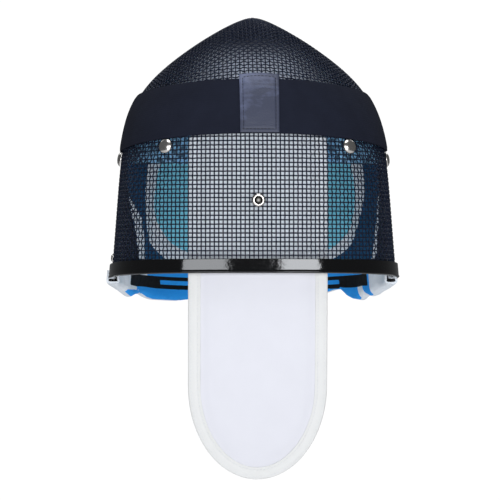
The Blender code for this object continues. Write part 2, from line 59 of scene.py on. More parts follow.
# The dome's outer form, as in the solids
SIDE_Y = 98.0
HALF_WIDTH = 100.2
RIM_FLARE = 6.3
FLARE_HEIGHT = 110.0
CHIN_Y = 243.0
CHIN_RAKE = 0.42
CHIN_BEND = 0.0011
BACK_SQUARENESS = 3.1
FRONT_SQUARENESS = 3.2
FRONT_VEE = 0.42
VEE_START = 45.0
APEX_Z = 195.0
ROOF_SLOPE = 0.45
ROOF_BEND = 0.0026
ROOF_RADIUS_FRONT = 150.0
ROOF_RADIUS_BACK = 100.0
ROOF_POWER = 9.0
RIDGE_ROUND_FRONT = 3.0
RIDGE_ROUND_BACK = 40.0
RIM_SLOPE = 0.061
MESH_WALL = 1.8
MESH_EDGE = 2.5
CROWN = np.array([0.0, -SIDE_Y, -(APEX_Z - MESH_WALL)])
BACKWARD = np.array([0.0, -1.0, 0.0])
FLARE_LIMIT = 1.3             # the flare stops growing this far down
FLARE_POWER = 1.5
RIDGE_FADE_Y = SIDE_Y + 15.0  # the ridge's edge rounds off from here to the back
RIDGE_FADE_RUN = 90.0
LEAST_REACH = 10.0
RAY_LENGTH = 320.0            # longer than any way from inside the dome to its outer face
RAY_HALVINGS = 44
RIPPLE_WAVES = 9

# Wire cloth
WIRE_DEPTH = 0.93             # its middle lies this far inside the outer face
CRIMP = 0.45                  # how far a wire swings to each side where it crosses another
BACK_SEED_HEIGHT = 60.0       # the level wire that the back is woven from
FACE_SEED_HEIGHT = 70.0       # where the face's first cross wire meets the ridge
SEED_STEPS = 2400
LEAST_ANGLE = 0.30            # a crossing closes up past this share of a step
SETTLE_ROUNDS = 7             # of finding where a new crossing lies
SETTLED = 1e-4                # how far off the form it may be left
FLAT_SHARE = 0.25             # of a step that a wire runs level to each side of a crossing
LEAST_STUB = 0.3              # of a step; a shorter end of a wire is left out

# Seam between the two halves of the dome
HEM_WIRE = 1.8                # diameter of the two wires that hem it
HEM_APART = 2.0               # from the middle of one to the other
HEM_STEPS = 420
HEM_SIDES = 8
HEM_AXIS_HEIGHT = 25.0
HEM_START = 2.0               # above the wires' own lower edge

# Trim
TRIM_HEIGHT = 10.3
TRIM_WALL = 1.6
TRIM_GAP = 0.3
TRIM_LIP = 0.35               # how far it bulges near its lower edge
TRIM_FLOOR = 2.2              # how high its closed bottom reaches
TRIM_SECTIONS = 420
TRIM_CREASES = ((5.0, 4), (22.0, 5))    # the creases' sizes, with their seeds

# Strap and its patch
STRAP_LOW = 100.9
STRAP_HIGH = 140.0
STRAP_LOW_FALL = 10.5         # how much lower its edges run at the sides
STRAP_HIGH_FALL = 9.2
STRAP_TURN = 60.0             # where its lower edge has come down
STRAP_TURN_POWER = 0.6
STRAP_WALL = 1.6
STRAP_REACH = 118.0
STRAP_GAP = 0.5
STRAP_GUIDE_HEIGHT = 100.0
STRAP_ROUND = 0.35            # how far its edges are rounded off
STRAP_ROUND_SHARE = 0.14      # the share of its half width that this takes
STRAP_SWELL = 0.18
STRAP_SWELL_SIZE = 45.0
STRAP_COLUMNS = 220
STRAP_ROWS = 19
STRAP_SEAMS = (4, 7, 1, -5, -8, -8)     # columns with a row of stitches, the last one twice
PATCH_HALF_WIDTH = 13.75
PATCH_LOW = 99.8
PATCH_HIGH = 141.6
PATCH_ARCH = 1.2
PATCH_ASIDE = 0.9             # how far it has slipped along the strap
PATCH_WALL = 1.5
PATCH_SEAM = 2.3              # its stitches inside its edge
PATCH_SWELL = 0.45            # how much thicker it is inside its edge
PATCH_SWELL_RUN = 1.2
PATCH_GROOVE = 0.35           # how deep the stitches press it
PATCH_GROOVE_WIDTH = 0.5
PATCH_DENTS = 9.0
PATCH_DENT_DEPTH = 0.08
PATCH_COLUMNS = 37
PATCH_ROWS = 53

# Tongue
TONGUE_HALF_WIDTH = 50.0
TONGUE_TOP = 105.0
TONGUE_ROUND_START = -81.0
TONGUE_BOTTOM = -149.0
TONGUE_CORNER = 14.0
TONGUE_STANDOFF = 4.9         # its middle layer inside the dome's outer face
TRIM_STANDOFF = 6.9           # and where it passes the trim
STANDOFF_START = 24.0
STANDOFF_RUN = 12.0
TONGUE_FORWARD = 14.0
TONGUE_LEAN_POWER = 1.6
PANEL_WALL = 3.0
BINDING_WIDTH = 9.0
BINDING_WALL = 0.8
BINDING_GAP = 0.2
BINDING_SEAMS = (2.3, 7.2)    # two rows of stitches inside its edge
STITCH_GAP = 0.25             # share of a stitch's spacing that is left open
PANEL_PINCH = 0.45            # share of its thickness that is left under the binding
PANEL_SHARES = (0.0, 0.02, 0.05, 0.1, 0.17, 0.27, 0.4, 0.55, 0.7, 0.85, 1.0)
PANEL_SWELL_RUN = 0.17        # share of the way inwards in which it reaches full thickness
PANEL_WELD = 0.02
PAINTED_LIGHT_ABOVE = 4.0             # painted light: whiter from here up, in place of the wires' shadows
PAINTED_LIGHT_RUN = 6.0

# Lining
LINING_WALL = 6.0
LINING_EDGE = 1.2             # how thick it is at its edges
LINING_INSET = 3.7            # its outer face inside the dome's outer face
LINING_LOW = 79.0
LINING_HIGH = 117.0
LINING_RISE = 0.04
LINING_END_X = 58.0
LINING_END_Y = 12.0
LINING_COLUMNS = 330
LINING_ROWS = 25
QUILT_STEP = 24.0             # from one quilting seam to the next
QUILT_ROUND = 5.0             # how far inside its edges it is fully plump
FOREHEAD_TOP = 192.6
FOREHEAD_INSET = 3.2
FOREHEAD_WALL = 1.6
FOREHEAD_RISE = 1.5
FOREHEAD_REACH = 94.0
FOREHEAD_COLUMNS = 120
FOREHEAD_ROWS = 40

# Bib
BIB_WALL = 1.6
BIB_OUTSIDE = 3.1
BIB_INSIDE = 8.0
BIB_CLOSE = 3.5               # and at its sides, above the trim
BIB_END_INSIDE = 5.3          # and at the ends of the fold
BIB_COLLAR = 7.5
BIB_TOP_GAP = 0.7             # below the lining, whose lower edge is thin
BIB_REACH = 86.0
BIB_LEAN = 91.0               # where its sides reach above the rim
BIB_LEAN_RUN = 40.0
BIB_FULL_HEIGHT = 78.0        # about where its tucked edge runs
BIB_LEAST_TOP = 4.0           # how low that edge comes at the ends
BIB_TUCK_RUN = 5.0            # degrees in which it comes down
BIB_END_TURN = 64.0           # from here the fold moves in to its ends
BIB_END_RUN = 14.0
CLOSE_TURN = 55.0             # from here to each side, and from CLOSE_RISE up, it nears the wall
CLOSE_TURN_RUN = 20.0
CLOSE_RISE = 11.5
CLOSE_RISE_RUN = 9.0
BIB_COLUMNS = 240
COLLAR_ROWS = 6
BEND_ROWS = 15
TUCK_ROWS = 33
CREASE_SIZE = 24.0
CREASE_DEPTH = 0.9
CREASE_STRETCH = np.array([1.0, 1.0, 0.4])

# The bib's print: turns in degrees from the face's centre line, heights in millimetres
PRINT_ASIDE = 4.2
PRINT_HALF_WIDTH = 59.0
PRINT_TOP = 78.0
PRINT_DEPTH = 71.0
PRINT_SQUARENESS = 2.2
PRINT_BOTTOM = 5.0
HEM_BOTTOM = 6.0              # the white side hems, above the rim
HEM_TOP = 66.0
HEM_RIGHT_WIDTH = 2.6
HEM_LINES = ((59.5, 0.31, 19.0), (70.5, 0.22, 16.0))  # turn, growth a millimetre, from height
TUCKED_END_TOP = 11.0         # how high the silvery end reaches inside, on the right
FOLD_END = 66.0               # where the silvery ends of the fold begin
GATHER = (53.5, 58.0)         # a silvery gather on the right
BLUE_LOBE = (-68.0, -52.0)    # blue shows on the left, deeper than BLUE_DEPTH
BLUE_DEPTH = 5.0
LIP_ROWS = 15                 # rows outside the rim that are white beyond LIP_TURN
LIP_TURN = 25.0
TAPE_HIGH = 5.7               # the middles of the two black lines
TAPE_LOW = -1.1
TAPE_MASS = (-38.0, 40.0)     # beyond these turns they join
TAPE_ENDS = (-67.0, 64.0)

# Fasteners
RIVET_RADIUS = 5.5
RIVET_HEIGHT = 2.6
BACK_RIVET = (66.0, 91.0)
SIDE_RIVET = (80.0, 84.3)
RIM_RIVET = (92.0, 10.5)
RIM_RIVET_SCALE = 0.55
RIVET_STANDOFF = 0.3
RIVET_SIDES = 32
BOLT_HEIGHT = 51.9
BOLT_RADIUS = 5.0
BOLT_SIDES = 40
SOCKET_RADIUS = 2.87          # painted shade lies inside it

# Camera, from the photograph: where it stands and how long its lens is
CAMERA_DISTANCE = 1500.0
CAMERA_TURN = 2.3
CAMERA_HEIGHT = 16.4
CAMERA_ASIDE = -6.05
CAMERA_LENS = 151.8
CAMERA_SENSOR = 36.0
LIGHT_TINT = "#f7faff"        # the soft boxes are slightly cool
LIGHT_AIM = Vector((0.0, 0.0, -0.12))
FLOOR_RADIUS = 1.25
FLOOR_HEIGHT = -0.60

# A wave node's bands of scale 1 repeat after this length, which is 2 pi / 20
WAVE_LENGTH = 0.314


# ---------------------------------------------------------------- the dome's form

def ridge_distance(x, y):
    """Distance from the centre plane, rounded off where the ridge has faded."""
    fade = np.clip((RIDGE_FADE_Y - y) / RIDGE_FADE_RUN, 0.0, 1.0)
    rounding = RIDGE_ROUND_FRONT + (RIDGE_ROUND_BACK - RIDGE_ROUND_FRONT) * fade
    return np.sqrt(x * x + rounding * rounding) - RIDGE_ROUND_FRONT


def half_width(z):
    left = np.clip(1.0 - z / FLARE_HEIGHT, 0.0, FLARE_LIMIT)
    return HALF_WIDTH + RIM_FLARE * left ** FLARE_POWER


def rounded(first, second, power):
    """Two measures as one, rounded where they meet."""
    return (first ** power + second ** power) ** (1 / power)


def wall_measure(x, y, z):
    """1 on the upright walls, less inside them."""
    side = np.abs(x) / half_width(z)
    ahead = np.maximum(y - SIDE_Y, 0.0)
    behind = np.maximum(SIDE_Y - y, 0.0)
    back = rounded(side, behind / SIDE_Y, BACK_SQUARENESS)
    ridge_y = CHIN_Y - (CHIN_RAKE + CHIN_BEND * z) * z
    reach = np.maximum(ridge_y - SIDE_Y, LEAST_REACH)
    face = (ahead + FRONT_VEE * smooth(ahead / VEE_START) * ridge_distance(x, y)) / reach
    return np.where(y < SIDE_Y, back, rounded(side, face, FRONT_SQUARENESS))


def roof_measure(x, y, z):
    """1 on the roof, less below it."""
    roof = APEX_Z - ROOF_SLOPE * ridge_distance(x, y) - ROOF_BEND * x * x
    radius = np.where(y < SIDE_Y, ROOF_RADIUS_BACK, ROOF_RADIUS_FRONT)
    roof = roof - (y - SIDE_Y) ** 2 / (2 * radius)
    return np.maximum(1.0 + (z - roof) / APEX_Z, 0.0)


def form_measure(point):
    """1 on the dome's outer face, less inside it; point is an array ending in x, y, z."""
    x, y, z = point[..., 0], point[..., 1], point[..., 2]
    return rounded(wall_measure(x, y, z), roof_measure(x, y, z), ROOF_POWER)


def slope(points):
    """How the form's measure grows along each axis."""
    step = 0.05
    made = np.zeros_like(points)
    for axis in range(3):
        shift = np.zeros(3)
        shift[axis] = step
        made[..., axis] = (form_measure(points + shift) - form_measure(points - shift)) / (2 * step)
    return made


def unit(vectors):
    return vectors / np.linalg.norm(vectors, axis=-1, keepdims=True)


def normals(points, flat=False):
    """Outward unit normals; flat ones are level."""
    made = slope(points)
    if flat:
        made[..., 2] = 0.0
    return unit(made)


def cast(start, direction):
    """Where rays from inside the dome meet its outer face."""
    near = np.zeros(direction.shape[:-1])
    far = np.full(direction.shape[:-1], RAY_LENGTH)
    for _ in range(RAY_HALVINGS):
        middle = (near + far) / 2
        inside = form_measure(start + direction * middle[..., None]) < 1.0
        near = np.where(inside, middle, near)
        far = np.where(inside, far, middle)
    return start + direction * far[..., None]


def compass(angle):
    """Level unit vectors; 0 is the picture's right and 90 the face."""
    angle = np.radians(angle)
    return np.stack([np.cos(angle), np.sin(angle), np.zeros_like(angle)], axis=-1)


def at_height(angle, height, tilt=0.0):
    """Points on the outer face, seen from the dome's upright axis along a level plane, or
    one that falls by tilt towards the face."""
    angle, height = np.broadcast_arrays(np.asarray(angle, float), np.asarray(height, float))
    start = np.zeros(angle.shape + (3,))
    start[..., 1] = SIDE_Y
    start[..., 2] = height - tilt * SIDE_Y
    direction = compass(angle)
    direction[..., 2] = -tilt * direction[..., 1]
    return cast(start, direction)


def above_rim(angle, rise):
    """Points on the outer face at a given height above the sloping rim plane."""
    return at_height(angle, rise, RIM_SLOPE)


def on_back(x, z):
    """Points on the outer face of the back, seen straight from behind."""
    x, z = np.broadcast_arrays(np.asarray(x, float), np.asarray(z, float))
    start = np.stack([x, np.full(x.shape, SIDE_Y), z], axis=-1)
    return cast(start, np.broadcast_to(BACKWARD, start.shape))


def set_off(points, distance, **how):
    return points + normals(points, **how) * np.asarray(distance, float)[..., None]


def to_row(points):
    """Millimetres in the rim's frame to metres in the row's frame."""
    return (np.asarray(points, float) + CROWN) * MM


def smooth(value):
    value = np.clip(value, 0.0, 1.0)
    return value * value * (3 - 2 * value)


def ripple(points, size, seed):
    """A soft, repeatable unevenness from -1 to 1 whose swells are about size across."""
    random = np.random.default_rng(seed)
    total = np.zeros(points.shape[:-1])
    for _ in range(RIPPLE_WAVES):
        way = random.normal(size=3)
        way = way / np.linalg.norm(way) * 2 * math.pi / (size * random.uniform(0.8, 1.9))
        total = total + np.sin(points @ way + random.uniform(0, 2 * math.pi))
    return total / (RIPPLE_WAVES / 2)


# ---------------------------------------------------------------- objects and nodes

def link(name, mesh):
    made = bpy.data.objects.new(name, mesh)
    bpy.context.collection.objects.link(made)
    return made


def new_mesh(name, points, edges=(), faces=()):
    """A mesh from points in metres."""
    made = bpy.data.meshes.new(name)
    made.from_pydata([tuple(point) for point in points], list(edges), list(faces))
    return made


def outward(mesh, weld=None):
    """Turns a closed mesh's faces outwards, once points closer than weld are joined."""
    body = bmesh.new()
    body.from_mesh(mesh)
    if weld:
        bmesh.ops.remove_doubles(body, verts=body.verts, dist=weld)
        bmesh.ops.dissolve_degenerate(body, edges=body.edges, dist=weld / 2)
    bmesh.ops.recalc_face_normals(body, faces=body.faces)
    if body.calc_volume(signed=True) < 0:
        bmesh.ops.reverse_faces(body, faces=body.faces)
    body.to_mesh(mesh)
    body.free()


def smoothed(mesh, sharp):
    """Shades a mesh smooth, but for edges sharper than an angle in degrees."""
    mesh.shade_smooth()
    mesh.set_sharp_from_angle(angle=math.radians(sharp))


def piece(name, points, faces, finish, sharp=35.0):
    """A closed piece from points in the rim's frame, its faces turned outwards."""
    mesh = new_mesh(name, to_row(points), faces=faces)
    outward(mesh)
    mesh.materials.append(finish)
    smoothed(mesh, sharp)
    return link(name, mesh)


def lines(name, runs):
    """A mesh of open polylines, for a tree of nodes to work on."""
    points, edges = [], []
    for run in runs:
        first = len(points)
        points.extend(to_row(run))
        edges.extend((number, number + 1) for number in range(first, len(points) - 1))
    return new_mesh(name, points, edges)


def wall_between(outer, inner):
    """Points and faces of the solid between two grids of points of the same shape."""
    rows, columns = outer.shape[:2]
    points = np.concatenate([outer.reshape(-1, 3), inner.reshape(-1, 3)])
    layer = rows * columns
    faces = []
    for row in range(rows - 1):
        for column in range(columns - 1):
            corner = row * columns + column
            quad = [corner, corner + 1, corner + columns + 1, corner + columns]
            faces.append(quad)
            faces.append([layer + number for number in reversed(quad)])
    top = (rows - 1) * columns
    for near in range(columns - 1):
        far = top + near
        faces.append([near + 1, near, layer + near, layer + near + 1])
        faces.append([far, far + 1, layer + far + 1, layer + far])
    for row in range(rows - 1):
        left = row * columns
        right = left + columns - 1
        faces.append([left, left + columns, layer + left + columns, layer + left])
        faces.append([right + columns, right, layer + right, layer + right + columns])
    return points, faces


def swept(sections, closed):
    """Points and faces of a profile that runs through sections, one row for each."""
    count, points = sections.shape[:2]
    faces = []
    for number in range(count if closed else count - 1):
        here = number * points
        there = ((number + 1) % count) * points
        for point in range(points):
            after = (point + 1) % points
            faces.append([here + point, here + after, there + after, there + point])
    if not closed:
        faces.append(list(range(points)))
        faces.append(list(range((count - 1) * points, count * points)))
    return sections.reshape(-1, 3), faces


def turned(profile, sides):
    """Points and faces of a profile of (radius, height) turned about Z."""
    points, faces, rings = [], [], []
    for radius, height in profile:
        if radius == 0:
            rings.append([len(points)] * sides)
            points.append((0.0, 0.0, height))
            continue
        rings.append(list(range(len(points), len(points) + sides)))
        for side in range(sides):
            turn = 2 * math.pi * side / sides
            points.append((radius * math.cos(turn), radius * math.sin(turn), height))
    for below, above in zip(rings, rings[1:]):
        for side in range(sides):
            after = (side + 1) % sides
            corners = [below[side], below[after], above[after], above[side]]
            faces.append(list(dict.fromkeys(corners)))
    return points, faces


def per_vertex(mesh, values):
    """A number for each vertex; the two layers of a wall share the same ones."""
    values = np.ravel(values).astype(np.float32)
    return np.tile(values, len(mesh.vertices) // len(values))


def store(mesh, name, values):
    """A number for each vertex, which a material or a tree reads by name."""
    attribute = mesh.attributes.new(name, "FLOAT", "POINT")
    attribute.data.foreach_set("value", per_vertex(mesh, values))


def store_uv(mesh, name, across, along):
    """A UV map from two numbers for each vertex."""
    layer = mesh.uv_layers.new(name=name)
    corner = np.zeros(len(mesh.loops), dtype=np.int32)
    mesh.loops.foreach_get("vertex_index", corner)
    values = [per_vertex(mesh, across)[corner], per_vertex(mesh, along)[corner]]
    layer.data.foreach_set("uv", np.stack(values, axis=-1).ravel())


def feed(node, inputs):
    """Sets a node's inputs to values, or links them to the sockets given."""
    for socket, value in inputs.items():
        if isinstance(value, bpy.types.NodeSocket):
            node.id_data.links.new(value, node.inputs[socket])
        else:
            node.inputs[socket].default_value = value


def add(tree, kind, inputs=None, **settings):
    """Adds a node; its inputs are values or the sockets that feed them."""
    node = tree.nodes.new(kind)
    for name, value in settings.items():
        setattr(node, name, value)
    feed(node, inputs or {})
    return node


def linear(code):
    """An sRGB hex colour as linear RGBA."""
    made = []
    for start in (1, 3, 5):
        part = int(code[start:start + 2], 16) / 255
        made.append(part / 12.92 if part <= 0.04045 else ((part + 0.055) / 1.055) ** 2.4)
    return (*made, 1.0)


def shade(colour, amount):
    """A colour made darker or lighter."""
    return (*[part * amount for part in colour[:3]], 1.0)


def blank_material(name):
    """A material with its shader, ready for more nodes."""
    made = bpy.data.materials.new(name)
    made.use_nodes = True
    made.node_tree.nodes.clear()
    shader = add(made.node_tree, "ShaderNodeBsdfPrincipled")
    add(made.node_tree, "ShaderNodeOutputMaterial", {"Surface": shader.outputs[0]})
    return made, made.node_tree, shader


def fill(shader, **inputs):
    """Feeds the shader's own sockets; underscores stand for spaces."""
    feed(shader, {name.replace("_", " "): value for name, value in inputs.items()})


def node_tree(name, sockets):
    """An empty geometry tree with named inputs."""
    tree = bpy.data.node_groups.new(name, "GeometryNodeTree")
    tree.interface.new_socket("Geometry", in_out="INPUT", socket_type="NodeSocketGeometry")
    for label, kind in sockets:
        tree.interface.new_socket(label, in_out="INPUT", socket_type="NodeSocket" + kind)
    tree.interface.new_socket("Geometry", in_out="OUTPUT", socket_type="NodeSocketGeometry")
    return tree, add(tree, "NodeGroupInput")


def end_tree(tree, geometry, finish):
    realized = add(tree, "GeometryNodeRealizeInstances", {"Geometry": geometry})
    painted = add(tree, "GeometryNodeSetMaterial", {
        "Geometry": realized.outputs[0], "Material": finish})
    add(tree, "NodeGroupOutput", {"Geometry": painted.outputs[0]})


def grow(name, mesh, tree, values):
    """Runs a tree on a mesh and keeps what it makes as a plain mesh."""
    made = link(name, mesh)
    modifier = made.modifiers.new(tree.name, "NODES")
    modifier.node_group = tree
    for item in tree.interface.items_tree:
        if item.item_type == "SOCKET" and item.in_out == "INPUT" and item.name in values:
            modifier[item.identifier] = values[item.name]
    depsgraph = bpy.context.evaluated_depsgraph_get()
    result = bpy.data.meshes.new_from_object(made.evaluated_get(depsgraph))
    made.modifiers.clear()
    made.data = result
    result.name = name
    return made


# ---------------------------------------------------------------- settings

def length_setting(label, note, default, least, most):
    return FloatProperty(
        name=label, description=note, default=default, min=least, max=most, unit="LENGTH")


def colour_setting(label, note, code):
    return FloatVectorProperty(
        name=label, description=note, default=linear(code), size=4, subtype="COLOR", min=0, max=1)


class MaskSizes(bpy.types.PropertyGroup):
    """Sizes of what the mask is dressed with."""
    wire: length_setting("Wire thickness", "Diameter of a painted wire", 0.00096, 0.0004, 0.002)
    spacing: length_setting(
        "Wire spacing", "From the middle of one wire to the next", 0.00315, 0.002, 0.008)
    wire_sides: IntProperty(
        name="Wire sides", description="Flat sides round each wire", default=5, min=3, max=12)
    crinkle: length_setting(
        "Trim crinkle", "How deep the creases of the trim are", 0.000012, 0.0, 0.0005)
    stitch: length_setting("Stitch length", "Length of one stitch", 0.0026, 0.001, 0.006)
    thread: length_setting(
        "Thread thickness", "Diameter of the sewing thread", 0.0005, 0.0002, 0.001)


class MaskColours(bpy.types.PropertyGroup):
    """Colours of what the mask is dressed with."""
    wire: colour_setting("Wire enamel", "Paint of the wires", "#121828")
    vinyl: colour_setting("Trim vinyl", "Glossy binding of the rim", "#030304")
    elastic: colour_setting("Strap elastic", "Woven strap", "#1b1e2a")
    leatherette: colour_setting("Leatherette", "Patch on the strap", "#50566e")
    panel: colour_setting("Tongue cloth", "Cool white panel of the tongue", "#e2e1e6")
    binding: colour_setting("Tongue binding", "Off-white tape round the tongue", "#e6e5e2")
    # a darker copy of the royal blue: painted shade on the bib inside the dome
    margin: colour_setting("Bib margin", "Deep blue round the bib's middle", "#164c72")
    padding: colour_setting("Lining", "Padded band inside the dome", "#9cd6ff")
    teal: colour_setting("Bib centre", "Middle of the tucked bib", "#8cdff3")
    royal: colour_setting("Bib fold", "Bright cloth of the bib's fold", "#2aa4ff")


def sizes():
    return bpy.context.scene.mask_sizes


def colours():
    return bpy.context.scene.mask_colours


# ---------------------------------------------------------------- materials

def painted_wire():
    """Steel wire dipped in dark enamel: nearly black with a blue cast and a soft gloss
    along each wire, a little uneven in tone."""
    made, tree, shader = blank_material("painted_wire")
    place = add(tree, "ShaderNodeTexCoord").outputs["Object"]
    # blotches about 1.1 mm across
    blotches = add(tree, "ShaderNodeTexNoise", {
        "Vector": place, "Scale": 900.0, "Detail": 2.0}).outputs["Fac"]
    tone = add(tree, "ShaderNodeValToRGB", {"Fac": blotches})
    dark, light = tone.color_ramp.elements
    base = colours().wire
    dark.color = shade(base, 0.75)
    light.color = shade(base, 1.3)
    rough = add(tree, "ShaderNodeMapRange", {"Value": blotches, "To Min": 0.28, "To Max": 0.42})
    fill(shader, Base_Color=tone.outputs["Color"], Roughness=rough.outputs["Result"],
         IOR=1.5, Specular_IOR_Level=0.22, Specular_Tint=linear("#dfe6ff"))
    return made


def black_vinyl():
    """Moulded PVC binding, heat-shrunk: black, wet-looking, with fine creases that break
    up the reflections of the studio lights."""
    made, tree, shader = blank_material("black_vinyl")
    place = add(tree, "ShaderNodeTexCoord").outputs["Object"]
    # creases about 3 mm apart, with others of 0.8 mm in them
    coarse = add(tree, "ShaderNodeTexNoise", {
        "Vector": place, "Scale": 320.0, "Detail": 3.0}).outputs["Fac"]
    fine = add(tree, "ShaderNodeTexNoise", {
        "Vector": place, "Scale": 1300.0, "Detail": 2.0}).outputs["Fac"]
    relief = add(tree, "ShaderNodeMath", {0: fine, 1: 0.12, 2: coarse}, operation="MULTIPLY_ADD")
    bump = add(tree, "ShaderNodeBump", {
        "Height": relief.outputs[0], "Strength": 0.1, "Distance": 0.0004})
    rough = add(tree, "ShaderNodeMapRange", {"Value": coarse, "To Min": 0.04, "To Max": 0.09})
    fill(shader, Base_Color=colours().vinyl, Roughness=rough.outputs["Result"], IOR=1.6,
         Normal=bump.outputs["Normal"])
    return made


def dark_elastic():
    """Woven polyester over rubber cords: matt navy-black with faint ribs along the strap
    and a fine weave across it."""
    made, tree, shader = blank_material("dark_elastic")
    place = add(tree, "ShaderNodeUVMap", uv_map="run").outputs["UV"]
    # ribs of 1.6 mm, picks of 0.9 mm and blotches about 12 mm across
    ribs = add(tree, "ShaderNodeTexWave", {"Vector": place, "Scale": WAVE_LENGTH / 1.6},
               bands_direction="Y")
    picks = add(tree, "ShaderNodeTexWave", {"Vector": place, "Scale": WAVE_LENGTH / 0.9},
                bands_direction="X")
    relief = add(tree, "ShaderNodeMath", {0: ribs.outputs["Fac"], 1: picks.outputs["Fac"]},
                 operation="MULTIPLY")
    blotches = add(tree, "ShaderNodeTexNoise", {"Vector": place, "Scale": 0.08, "Detail": 3.0})
    tone = add(tree, "ShaderNodeValToRGB", {"Fac": blotches.outputs["Fac"]})
    dark, light = tone.color_ramp.elements
    base = colours().elastic
    dark.color = shade(base, 0.8)
    light.color = shade(base, 1.2)
    bump = add(tree, "ShaderNodeBump", {
        "Height": relief.outputs[0], "Strength": 0.4, "Distance": 0.0002})
    fill(shader, Base_Color=tone.outputs["Color"], Roughness=0.9, Specular_IOR_Level=0.1,
         Normal=bump.outputs["Normal"])
    return made


def leatherette():
    """Coated fabric embossed with a pebble grain: blue-grey, paler towards the upper left and
    along long level creases; partly wear, partly painted light from above and painted
    highlights on the creases."""
    made, tree, shader = blank_material("leatherette")
    place = add(tree, "ShaderNodeTexCoord").outputs["Object"]
    # pebbles about 0.9 mm across and blotches about 6 mm across
    grain = add(tree, "ShaderNodeTexVoronoi", {"Vector": place, "Scale": 1100.0},
                feature="SMOOTH_F1")
    blotches = add(tree, "ShaderNodeTexNoise", {"Vector": place, "Scale": 160.0, "Detail": 4.0})
    patch = add(tree, "ShaderNodeUVMap", uv_map="patch").outputs["UV"]
    spread = add(tree, "ShaderNodeSeparateXYZ", {0: patch})
    lift = add(tree, "ShaderNodeMath", {0: spread.outputs["Y"], 1: spread.outputs["X"]},
               operation="SUBTRACT")
    # paler towards the upper left: partly wear, partly painted light from above
    wear_and_top_light = add(tree, "ShaderNodeMapRange", {
        "Value": lift.outputs[0], "From Min": -6.0, "From Max": 44.0, "To Min": 0.02,
        "To Max": 0.48})
    # creases about 3 mm apart and 20 mm long: the node scales first and then turns
    slanted = add(tree, "ShaderNodeMapping", {
        "Vector": patch, "Rotation": (0.0, 0.0, 0.9), "Scale": (0.05, 0.3, 1.0)})
    creases = add(tree, "ShaderNodeTexNoise", {
        "Vector": slanted.outputs[0], "Scale": 1.0, "Detail": 3.0}).outputs["Fac"]
    # the creases lighten the colour too: partly wear, partly painted highlight
    both = add(tree, "ShaderNodeMath", {0: creases, 1: blotches.outputs["Fac"]}, operation="ADD")
    uneven = add(tree, "ShaderNodeMath", {
        0: both.outputs[0], 1: 0.55, 2: wear_and_top_light.outputs["Result"]}, operation="MULTIPLY_ADD")
    tone = add(tree, "ShaderNodeValToRGB", {"Fac": uneven.outputs[0]})
    dark, light = tone.color_ramp.elements
    base = colours().leatherette
    dark.position = 0.68
    dark.color = shade(base, 0.5)
    light.color = shade(base, 1.3)
    relief = add(tree, "ShaderNodeMath", {0: creases, 1: 2.0, 2: grain.outputs["Distance"]},
                 operation="MULTIPLY_ADD")
    bump = add(tree, "ShaderNodeBump", {
        "Height": relief.outputs[0], "Strength": 0.4, "Distance": 0.0004})
    fill(shader, Base_Color=tone.outputs["Color"], Roughness=0.5, Specular_IOR_Level=0.35,
         Normal=bump.outputs["Normal"])
    return made


def woven_cloth(name, colour, thread, roughness, depth=0.00015):
    """Plain-woven cloth: threads cross at a named spacing in millimetres, so the surface
    has a fine even tooth and no gloss.  It is painted whiter where the wires cover it:
    painted light in place of their shadows."""
    made, tree, shader = blank_material(name)
    place = add(tree, "ShaderNodeUVMap", uv_map="cut").outputs["UV"]
    warp, weft = [
        add(tree, "ShaderNodeTexWave", {"Vector": place, "Scale": WAVE_LENGTH / thread},
            bands_direction=direction).outputs["Fac"]
        for direction in ("X", "Y")]
    relief = add(tree, "ShaderNodeMath", {0: warp, 1: weft}, operation="MULTIPLY")
    # blotches about 20 mm across
    blotches = add(tree, "ShaderNodeTexNoise", {"Vector": place, "Scale": 0.05, "Detail": 3.0})
    tone = add(tree, "ShaderNodeValToRGB", {"Fac": blotches.outputs["Fac"]})
    dark, light = tone.color_ramp.elements
    dark.color = shade(colour, 0.95)
    light.color = shade(colour, 1.0)
    height = add(tree, "ShaderNodeSeparateXYZ", {0: place}).outputs["Y"]
    # painted light: the cloth turns whiter from a height up, where the wires cover it, in place of
    # their shadows
    covered = add(tree, "ShaderNodeMapRange", {
        "Value": height, "From Min": PAINTED_LIGHT_ABOVE, "From Max": PAINTED_LIGHT_ABOVE + PAINTED_LIGHT_RUN})
    shown = add(tree, "ShaderNodeMix", {
        0: covered.outputs["Result"], 6: tone.outputs["Color"], 7: linear("#f3f9ff")},
        data_type="RGBA")
    bump = add(tree, "ShaderNodeBump", {
        "Height": relief.outputs[0], "Strength": 0.3, "Distance": depth})
    fill(shader, Base_Color=shown.outputs[2], Roughness=roughness, Specular_IOR_Level=0.25,
         Normal=bump.outputs["Normal"])
    return made


def brushed_padding():
    """Brushed nylon over foam: short matt nap, dark blue where it lies flat and pale
    where it stands up, so that it looks speckled through the wires."""
    made, tree, shader = blank_material("navy_padding")
    place = add(tree, "ShaderNodeTexCoord").outputs["Object"]
    # tufts about 4 mm across, coarser than a real nap, so that they show
    nap = add(tree, "ShaderNodeTexNoise", {
        "Vector": place, "Scale": 260.0, "Detail": 4.0}).outputs["Fac"]
    tone = add(tree, "ShaderNodeValToRGB", {"Fac": nap})
    dark, light = tone.color_ramp.elements
    base = colours().padding
    dark.position = 0.45
    dark.color = shade(base, 0.25)
    light.position = 0.53
    light.color = shade(base, 1.0)
    bump = add(tree, "ShaderNodeBump", {"Height": nap, "Strength": 0.4, "Distance": 0.0004})
    fill(shader, Base_Color=tone.outputs["Color"], Roughness=0.95, Specular_IOR_Level=0.2,
         Normal=bump.outputs["Normal"])
    return made


